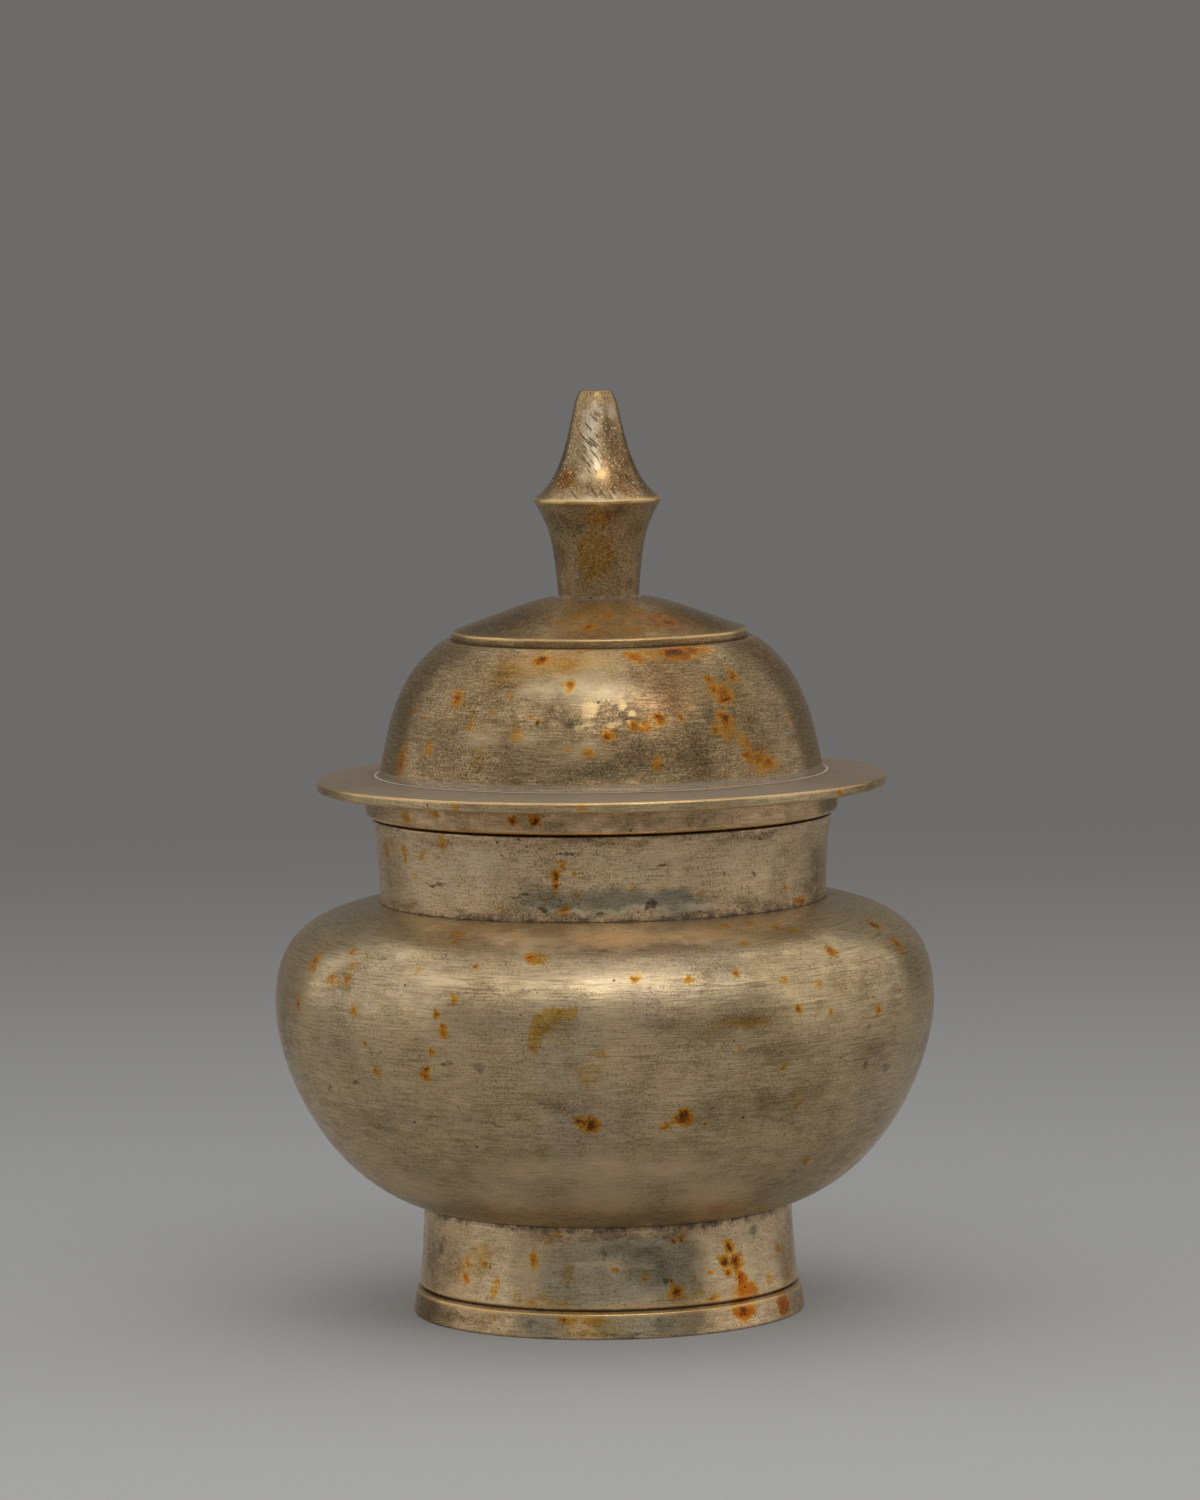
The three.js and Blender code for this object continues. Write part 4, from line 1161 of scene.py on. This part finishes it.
KNOB_PATCHES = [
    # Painted shade round the spire, leaving its lit front
    Patch("shade", 0.8, [(-75, 117, 6, 1.3), (62, 116, 6, 1.4), (170, 117, 8), (22, 119.4, 1.6, 2)], 1.0),
    Patch("copper", 0.8, [(50, 117, 4, 1.5), (25, 113.4, 5), (-30, 119, 1.6, 1.6), (-40, 113, 4)], 1.0),
    # Painted highlight beside the spire's lit front
    Patch("pale", 0.2, [(-22, 118, 4, 1.5)], 1.0),
    # Painted highlight: a bright streak down the spire over scuffed brass, a painted reflection band above
    # the rim and a painted glint
    Patch("silver", 0.75, [
        (-14, 122, 1.8, 1.6), (-12, 120, 1.7, 2.2), (-8, 117.6, 1.6, 2.0), (-2, 115.4, 1.5, 1.6),
        (0, 110.9, 5.5, 0.14), (4.5, 113.7, 1.1),
    ], 1.0),
    # Another painted highlight on the spire's right
    Patch("silver", 0.35, [(40, 122, 1.6, 1.4)], 1.0),
    # Painted highlight round the spire's lit front
    Patch("pale", 0.5, [(-18, 113.6, 1.8), (-8, 115, 2.4, 1.6), (3, 113.8, 2.6)], 0.9),
    # More painted shade on the spire's sides
    Patch("shade", 0.9, [(58, 113.4, 4.5, 1.3), (-72, 115, 3, 1.6)], 0.9),
    Patch("amber", 0.8, [(-46, 113.2, 1.9, 1.1)], 0.5),
    Patch("rust", 0.6, [(-48, 113, 1.4, 1.2), (0, 124.9, 2.0)], 0.6),
    Patch("straw", 0.8, [(6, 113.6, 2.4, 0.9)], 0.9),
    Patch("umber", 0.85, [(-16, 119, 2.2, 2), (-8, 116, 1.8, 1.6), (2, 111.3, 6, 0.16)], 0.3, "scuffs"),
    Patch("umber", 0.6, [
        (22, 120.5, 1.0, 1.4), (-50, 107.5, 3.4, 0.7), (-30, 106.4, 2.4, 0.6), (48, 106, 2.4),
        (-64, 103, 3), (20, 109, 3, 0.3), (50, 99, 1.6, 0.8),
    ]),
    Patch("ochre", 1.0, [(-4, 102.9, 3.0, 1.35), (0, 107.8, 2.6, 0.6)], 0.3),
    Patch("pale", 0.7, [(0, 116, 9, 0.9), (-120, 116, 9, 0.9), (120, 116, 9, 0.9)], 0.3, "dots"),
]


# The brass of each piece
FOOT_LOOK = Look(
    "Foot brass", "blush", "sand", mottle=0.7, lines=0.7, grain=0.6,
    spots=FOOT_SPOTS, patches=FOOT_PATCHES, seed=0.3,
)
BAND_LOOK = Look(
    "Band brass", "blush", "sand", mottle=0.7, lines=0.7, grain=0.6,
    spots=BAND_SPOTS, patches=BAND_PATCHES, seed=0.5,
)
BELLY_LOOK = Look(
    "Belly brass", haze="ash", haze_share=0.9, mottle=0.75, lines=0.8, grain=0.6,
    spots=BELLY_SPOTS, patches=BELLY_PATCHES, seed=0.9,
)
NECK_LOOK = Look(
    "Neck brass", "blush", "sand", "mauve", haze_share=0.15, mottle=0.6, lines=0.75, grain=0.7,
    spots=NECK_SPOTS, patches=NECK_PATCHES, seed=1.3,
)
RING_LOOK = Look(
    "Lid ring brass", "wheat", "bronze", lines=0.7,
    spots=RING_SPOTS, patches=RING_PATCHES, seed=1.9,
)
BRIM_LOOK = Look("Brim brass", haze="mauve", spots=BRIM_SPOTS, patches=BRIM_PATCHES, seed=2.3)
DOME_LOOK = Look(
    "Dome brass", "bronze", "walnut", "mauve", haze_share=0.2, mottle=0.55, lines=0.95, grain=0.9,
    bared=0.2, tarnish=0.45, spots=DOME_SPOTS, patches=DOME_PATCHES, seed=2.9,
)
CAP_LOOK = Look(
    "Cap brass", "bronze", "walnut", haze_share=0.3, mottle=0.6, lines=0.9, grain=0.7,
    spots=CAP_SPOTS, patches=CAP_PATCHES, seed=3.7,
)
KNOB_LOOK = Look(
    "Knob brass", "bronze", "walnut", haze_share=0.4, lines=0.7, grain=0.8, specks=0.2,
    patches=KNOB_PATCHES, seed=4.1,
)
WASHER_LOOK = Look("Washer brass", "bronze", "walnut", seed=4.7)


# Roundings of the corners that have no setting of their own
GROOVE_ROUND = 0.05 * MM
CRISP_ROUND = 0.06 * MM
EDGE_ROUND = 0.08 * MM
STEP_ROUND = 0.1 * MM
BEVEL_ROUND = 0.12 * MM
WASHER_ROUND = 0.15 * MM
CORNER_ROUND = 0.2 * MM
INNER_ROUND = 0.3 * MM
LIP_ROUND = 0.4 * MM


# Outlines of the pieces
def foot_outline(foot):
    bore = foot.top_radius - foot.wall
    rebate = foot.low_radius - foot.rebate
    rebate_top = foot.band_top + foot.groove
    cut = Outline(rebate, rebate_top / 2)
    cut.line(rebate, rebate_top, grime=0.5)
    cut.line(foot.low_radius - foot.edge, rebate_top, soft=GROOVE_ROUND, grime=0.05, soil=0.15)
    cut.line(foot.low_radius, rebate_top + foot.edge, soft=EDGE_ROUND, worn=0.6)
    cut.bow(foot.top_radius, foot.top, FOOT_BOW, soft=CRISP_ROUND, grime=0.35, soil=0.65)
    cut.line(bore, foot.top)
    cut.line(bore, 0.0, soft=INNER_ROUND, inside=1.0)
    cut.line(rebate, 0.0)
    cut.line(rebate, rebate_top / 2)
    return cut


def band_outline(foot):
    bore = foot.low_radius - foot.rebate + foot.band_gap
    edge = foot.band_radius - foot.band_spread
    cut = Outline(bore, foot.band_top / 2)
    cut.line(bore, 0.0)
    cut.line(foot.band_radius, 0.0, soft=foot.floor_edge, grime=0.4)
    cut.line(edge, foot.band_top - foot.band_bevel, soft=BEVEL_ROUND, worn=0.95)
    cut.line(edge - foot.band_bevel_width, foot.band_top, soft=STEP_ROUND, grime=0.1)
    cut.line(bore, foot.band_top, grime=0.6)
    cut.line(bore, foot.band_top / 2)
    return cut


def belly_outline(belly, foot):
    boss = foot.top_radius - foot.wall - belly.boss_gap
    lip = belly.neck_radius - belly.neck_wall - belly.lip_gap
    mouth = lip - belly.lip_wall
    floor = foot.top + belly.wall
    ceiling = belly.shoulder - belly.wall
    cut = Outline(0.0, belly.boss_underside)
    cut.line(boss, belly.boss_underside, soft=INNER_ROUND, inside=1.0)
    cut.line(boss, foot.top)
    cut.line(foot.top_radius, foot.top, soft=CRISP_ROUND, grime=0.3, soil=0.4)
    start = cut.points[-1]
    middle = (belly.radius, belly.widest_height)
    end = (belly.neck_radius, belly.shoulder)
    underside = bowed(start, middle, UNDERSIDE_BOW, UNDERSIDE_STEPS)
    shoulder = bowed(middle, end, SHOULDER_BOW, SHOULDER_STEPS)
    cut.through(list(underside[1:]))
    cut.through(list(shoulder[1:]), grime=0.5, soil=0.5)
    cut.line(lip, belly.shoulder)
    cut.line(lip, belly.lip_top)
    cut.line(mouth, belly.lip_top, soft=LIP_ROUND, inside=1.0)
    cut.line(mouth, ceiling, soft=LIP_ROUND, inside=1.0)
    above = inner_wall(shoulder, belly.wall, floor, ceiling)
    below = inner_wall(underside, belly.wall, floor, ceiling)
    above = above[above[:, 0] > mouth + MOUTH_CLEARANCE]
    cut.through(list(above[::-2]), inside=1.0)
    cut.through(list(below[-2::-2]), inside=1.0)
    cut.line(0.0, floor, inside=1.0)
    return cut


def neck_outline(belly):
    bore = belly.neck_radius - belly.neck_wall
    cut = Outline((bore + belly.neck_radius) / 2, belly.shoulder)
    cut.line(belly.neck_radius, belly.shoulder, soft=EDGE_ROUND, grime=0.4, soil=0.65)
    cut.bow(belly.neck_top_radius, belly.neck_top, NECK_BOW, soft=belly.rim_round, grime=0.1, soil=0.3)
    cut.line(bore, belly.neck_top, soft=belly.rim_round, inside=0.6, worn=0.5)
    cut.line(bore, belly.shoulder, inside=1.0)
    cut.line((bore + belly.neck_radius) / 2, belly.shoulder, inside=1.0)
    return cut


def seat_ring_outline(lid):
    bore = lid.spigot_radius - lid.spigot_wall
    middle = (bore + lid.ring_radius) / 2
    cut = Outline(middle, lid.brim_underside)
    cut.line(bore, lid.brim_underside)
    cut.line(bore, lid.spigot_end, soft=lid.spigot_round, inside=1.0)
    cut.line(lid.spigot_radius, lid.spigot_end, soft=lid.spigot_round, inside=1.0, worn=0.4)
    cut.line(lid.spigot_radius, lid.seat, soft=CORNER_ROUND, inside=0.7, grime=0.7)
    cut.line(lid.ring_radius, lid.seat, soft=lid.ring_round, worn=0.6)
    cut.line(lid.ring_radius, lid.brim_underside, grime=0.4, soil=0.6)
    cut.line(middle, lid.brim_underside)
    return cut


def brim_outline(lid):
    bore = lid.spigot_radius - lid.spigot_wall
    under_dome = lid.dome_radius - lid.dome_wall / 2
    edge_top = lid.brim_underside + lid.brim_edge
    cut = Outline(under_dome, lid.dome_foot)
    cut.line(bore, lid.dome_foot, soft=INNER_ROUND, inside=1.0)
    cut.line(bore, lid.brim_underside, inside=1.0)
    cut.line(lid.brim_radius, lid.brim_underside, soft=lid.brim_round, worn=0.35, inside=0.35)
    cut.line(lid.brim_radius, edge_top, soft=lid.brim_round, worn=0.8)
    cut.line(lid.dome_radius, lid.dome_foot, bloom=1.0, dust=0.9)
    cut.line(under_dome, lid.dome_foot)
    return cut


def dome_outline(lid):
    under_dome = lid.dome_radius - lid.dome_wall / 2
    inner_crown = lid.crown - lid.dome_wall
    foot = (lid.dome_radius, lid.dome_foot)
    side = bowed(foot, (lid.crown_radius, lid.crown), DOME_BOW, DOME_STEPS)
    clear = side[:, 1] > lid.dome_foot + lid.dome_fillet
    fillet_end = side[clear][0]
    inner = inner_wall(side, lid.dome_wall, lid.dome_foot, inner_crown)
    cut = Outline(under_dome, lid.dome_foot)
    cut.line(lid.dome_radius + lid.dome_fillet, lid.dome_foot, dust=1.0)
    cut.bow(fillet_end[0], fillet_end[1], ROUND_BOW, bloom=0.7, dust=0.4)
    cut.through(list(side[clear][1:]), soft=lid.crown_round, dust=0.35)
    cut.line(lid.crown_bore, lid.crown, grime=0.2)
    cut.line(lid.crown_bore, inner_crown, soft=CORNER_ROUND, inside=1.0)
    cut.through(list(inner[::-1]), inside=1.0)
    cut.line(under_dome, lid.dome_foot, inside=1.0)
    return cut


def cap_outline(lid, knob):
    boss = lid.crown_bore - lid.boss_gap
    bore = boss - lid.boss_wall
    inner_top = lid.cap_top - lid.cap_wall
    lip_top = lid.crown + lid.cap_lip
    seat = (boss + lid.cap_radius) / 2
    cut = Outline(seat, lid.crown)
    cut.line(lid.cap_radius, lid.crown, bloom=1.0)
    cut.line(lid.cap_radius, lip_top, soft=lid.cap_round, worn=1.0)
    slope = bowed(cut.points[-1], (knob.stem_radius, lid.cap_top), CAP_BOW, CAP_STEPS)
    cut.through(list(slope[1:]), dust=0.75)
    cut.line(knob.tang_hole, lid.cap_top)
    cut.line(knob.tang_hole, inner_top)
    cut.line(knob.washer_radius, inner_top, inside=1.0)
    hollow = inner_wall(slope, lid.cap_wall, lid.boss_end, inner_top)
    hollow = hollow[(hollow[:, 0] < bore) & (hollow[:, 0] > knob.washer_radius)]
    cut.through(list(hollow[::-1]), inside=1.0)
    cut.line(bore, lid.crown, inside=1.0)
    cut.line(bore, lid.boss_end, soft=INNER_ROUND, inside=1.0)
    cut.line(boss, lid.boss_end, soft=INNER_ROUND, inside=1.0)
    cut.line(boss, lid.crown)
    cut.line(seat, lid.crown)
    return cut


def washer_outline(knob):
    middle = (knob.washer_underside + knob.washer_top) / 2
    cut = Outline(knob.tang_hole, middle)
    cut.line(knob.tang_hole, knob.washer_underside, soft=WASHER_ROUND, inside=1.0)
    cut.line(knob.washer_radius, knob.washer_underside, soft=INNER_ROUND, inside=1.0, worn=0.4)
    cut.line(knob.washer_radius, knob.washer_top, inside=1.0, grime=0.8)
    cut.line(knob.tang_hole, knob.washer_top)
    cut.line(knob.tang_hole, middle)
    return cut


def finial_outline(knob, lid):
    rim_top = knob.rim_underside + knob.rim_height
    neck = knob.rim_radius - knob.rim_bevel
    spire_edge = knob.top - knob.spire_bevel
    cut = Outline(0.0, knob.rivet_end)
    cut.bow(knob.rivet_radius, knob.washer_underside, ROUND_BOW, inside=0.8, worn=0.3)
    cut.line(knob.tang_radius, knob.washer_underside)
    cut.line(knob.tang_radius, lid.cap_top)
    cut.line(knob.stem_radius, lid.cap_top, soft=STEP_ROUND, dust=0.5, grime=0.5)
    cut.bow(neck, knob.rim_underside, STEM_BOW)
    cut.line(knob.rim_radius, knob.rim_underside + knob.rim_bevel, soft=CRISP_ROUND, worn=0.3)
    cut.line(knob.rim_radius, rim_top - knob.rim_bevel, soft=CRISP_ROUND, worn=1.0)
    cut.line(neck, rim_top, worn=0.3)
    cut.bow(knob.spire_radius, spire_edge, SPIRE_BOW, soft=BEVEL_ROUND, worn=0.2)
    cut.line(knob.spire_radius - knob.spire_bevel_width, knob.top, soft=CORNER_ROUND, worn=0.25)
    cut.line(0.0, knob.top)
    return cut


# Operators
class POT_OT_foot(bpy.types.Operator):
    """Turn the foot ring and the band round its lower edge"""

    bl_idname = "pot.foot"
    bl_label = "Foot ring and base band"

    def execute(self, context):
        foot = context.scene.pot_foot
        turn_piece("foot_ring", "pot", foot_outline(foot), FOOT_LOOK, seed=3.0)
        turn_piece("base_band", "pot", band_outline(foot), BAND_LOOK, seed=4.0)
        return {"FINISHED"}


class POT_OT_belly(bpy.types.Operator):
    """Turn the belly"""

    bl_idname = "pot.belly"
    bl_label = "Belly"

    def execute(self, context):
        outline = belly_outline(context.scene.pot_belly, context.scene.pot_foot)
        turn_piece("belly", "pot", outline, BELLY_LOOK, seed=1.0, closed=False)
        return {"FINISHED"}


class POT_OT_neck(bpy.types.Operator):
    """Turn the neck collar"""

    bl_idname = "pot.neck"
    bl_label = "Neck collar"

    def execute(self, context):
        outline = neck_outline(context.scene.pot_belly)
        turn_piece("neck_collar", "pot", outline, NECK_LOOK, seed=2.0)
        return {"FINISHED"}


class POT_OT_brim(bpy.types.Operator):
    """Turn the lid's seat ring and brim"""

    bl_idname = "pot.brim"
    bl_label = "Lid ring and brim"

    def execute(self, context):
        lid = context.scene.pot_lid
        turn_piece("lid_seat_ring", "lid", seat_ring_outline(lid), RING_LOOK, seed=5.0)
        turn_piece("lid_brim", "lid", brim_outline(lid), BRIM_LOOK, seed=6.0)
        return {"FINISHED"}


class POT_OT_dome(bpy.types.Operator):
    """Turn the lid's dome"""

    bl_idname = "pot.dome"
    bl_label = "Dome"

    def execute(self, context):
        outline = dome_outline(context.scene.pot_lid)
        turn_piece("lid_dome", "lid", outline, DOME_LOOK, seed=7.0)
        return {"FINISHED"}


class POT_OT_cap(bpy.types.Operator):
    """Turn the lid's cap"""

    bl_idname = "pot.cap"
    bl_label = "Cap"

    def execute(self, context):
        outline = cap_outline(context.scene.pot_lid, context.scene.pot_knob)
        turn_piece("lid_cap", "lid", outline, CAP_LOOK, seed=8.0)
        return {"FINISHED"}


class POT_OT_knob(bpy.types.Operator):
    """Turn the knob and the washer that it is riveted over"""

    bl_idname = "pot.knob"
    bl_label = "Knob and washer"

    def execute(self, context):
        knob = context.scene.pot_knob
        outline = finial_outline(knob, context.scene.pot_lid)
        turn_piece(
            "finial", "lid", outline, KNOB_LOOK, seed=9.0,
            steps=KNOB_STEPS, uneven=KNOB_UNEVENNESS, closed=False,
        )
        outline = washer_outline(knob)
        turn_piece("tang_washer", "lid", outline, WASHER_LOOK, seed=10.0, steps=KNOB_STEPS)
        return {"FINISHED"}


# The stage
FLOOR_SPAN = 40.0
CAMERA_PLACE = (-0.00014, -0.967, 0.1641)
CAMERA_PITCH = 5.19
CAMERA_ROLL = -0.87
SENSOR_WIDTH = 36.0
AIM_HEIGHT = 0.06  # of the place on the pot that the softboxes face


@dataclass
class Softbox:
    """A rectangular lamp that faces the pot from a direction, with azimuth 0 at the camera's side."""

    name: str
    setting: str  # the stage setting that gives its power
    azimuth: float  # in degrees
    elevation: float
    distance: float  # in metres
    width: float
    height: float


SOFTBOXES = (
    Softbox("Key softbox", "key", 14.0, 47.0, 1.3, 0.9, 0.5),
    Softbox("Front sheet", "front", 0.0, 46.0, 1.4, 2.7, 0.98),
    Softbox("Fill sheet", "fill", 0.0, 12.0, 1.3, 1.6, 0.6),
    Softbox("Left softbox", "left", -94.0, 27.0, 1.3, 1.8, 1.4),
    Softbox("Right softbox", "right", 96.0, 27.0, 1.3, 1.8, 1.4),
    Softbox("Top softbox", "top", 180.0, 74.0, 1.4, 1.7, 1.7),
)


def hang(softbox, power):
    """Hangs a softbox round the pot."""
    turn = math.radians(softbox.azimuth)
    rise = math.radians(softbox.elevation)
    way = Vector((math.sin(turn) * math.cos(rise), -math.cos(turn) * math.cos(rise), math.sin(rise)))
    lamp = bpy.data.lights.new(softbox.name, "AREA")
    lamp.shape = "RECTANGLE"
    lamp.size = softbox.width
    lamp.size_y = softbox.height
    lamp.energy = power
    holder = bpy.data.objects.new(softbox.name, lamp)
    bpy.context.scene.collection.objects.link(holder)
    holder.location = Vector((0.0, 0.0, AIM_HEIGHT)) + way * softbox.distance
    holder.rotation_euler = (-way).to_track_quat("-Z", "Y").to_euler()
    holder.visible_camera = False


def floor_finish(stage):
    """A pale floor that fades, away from the pot, into the grey of the distance."""
    shading = Shading("Floor")
    spot = shading.split(shading.add("ShaderNodeTexCoord")["Object"])
    fade = shading.ramp(spot["Y"], -stage.fade_lead, stage.fade_end)
    forward = shading.times(spot["Y"], -1.0)
    aside = shading.math("ABSOLUTE", spot["X"])
    fade = shading.most(fade, shading.ramp(shading.most(forward, aside), stage.side_start, stage.side_end))
    paint = shading.first("ShaderNodeBsdfDiffuse", {"Color": (*stage.floor, 1.0)})
    glow = shading.first("ShaderNodeEmission", {"Color": (*stage.distance, 1.0)})
    both = shading.first("ShaderNodeMixShader", {0: fade, 1: paint, 2: glow})
    shading.add("ShaderNodeOutputMaterial", {"Surface": both})
    return shading.material


class POT_OT_stage(bpy.types.Operator):
    """Set out the floor, the softboxes, the world and the camera"""

    bl_idname = "pot.stage"
    bl_label = "Stage"

    def execute(self, context):
        scene = context.scene
        stage = scene.pot_stage
        half = FLOOR_SPAN / 2
        mesh = bpy.data.meshes.new("floor")
        corners = [(-half, -half, 0.0), (half, -half, 0.0), (half, half, 0.0), (-half, half, 0.0)]
        mesh.from_pydata(corners, [], [(0, 1, 2, 3)])
        floor = bpy.data.objects.new("floor", mesh)
        scene.collection.objects.link(floor)
        mesh.materials.append(floor_finish(stage))

        for softbox in SOFTBOXES:
            hang(softbox, getattr(stage, softbox.setting))

        world = bpy.data.worlds.new("Studio")
        world.use_nodes = True
        background = world.node_tree.nodes["Background"]
        background.inputs["Color"].default_value = (*stage.distance, 1.0)
        scene.world = world

        camera = bpy.data.cameras.new("Camera")
        camera.lens = stage.lens
        camera.sensor_width = SENSOR_WIDTH
        holder = bpy.data.objects.new("Camera", camera)
        scene.collection.objects.link(holder)
        holder.location = CAMERA_PLACE
        tilt = Euler((math.radians(90.0 - CAMERA_PITCH), 0.0, 0.0)).to_matrix()
        roll = Euler((0.0, 0.0, math.radians(CAMERA_ROLL))).to_matrix()
        holder.rotation_euler = (tilt @ roll).to_euler()
        scene.camera = holder
        scene.view_settings.view_transform = "Standard"
        return {"FINISHED"}


class POT_PT_panel(bpy.types.Panel):
    """Lists the steps that build the pot"""

    bl_idname = "POT_PT_panel"
    bl_label = "Offering pot"
    bl_space_type = "VIEW_3D"
    bl_region_type = "UI"
    bl_category = "Offering pot"

    def draw(self, context):
        for step in STEPS:
            self.layout.operator(step.bl_idname)


STEPS = (
    POT_OT_foot,
    POT_OT_belly,
    POT_OT_neck,
    POT_OT_brim,
    POT_OT_dome,
    POT_OT_cap,
    POT_OT_knob,
    POT_OT_stage,
)
GROUPS = {
    "pot_foot": PotFootSizes,
    "pot_belly": PotBellySizes,
    "pot_lid": PotLidSizes,
    "pot_knob": PotKnobSizes,
    "pot_brass": PotBrassColours,
    "pot_stage": PotStageSettings,
}
CLASSES = (*GROUPS.values(), *STEPS, POT_PT_panel)


def register():
    for kind in CLASSES:
        bpy.utils.register_class(kind)
    for name, group in GROUPS.items():
        setattr(bpy.types.Scene, name, bpy.props.PointerProperty(type=group))


def unregister():
    for name in GROUPS:
        delattr(bpy.types.Scene, name)
    for kind in reversed(CLASSES):
        bpy.utils.unregister_class(kind)


def main():
    """Builds every piece and the stage."""
    register()
    bpy.ops.pot.foot()
    bpy.ops.pot.belly()
    bpy.ops.pot.neck()
    bpy.ops.pot.brim()
    bpy.ops.pot.dome()
    bpy.ops.pot.cap()
    bpy.ops.pot.knob()
    bpy.ops.pot.stage()


if __name__ == "__main__":
    main()
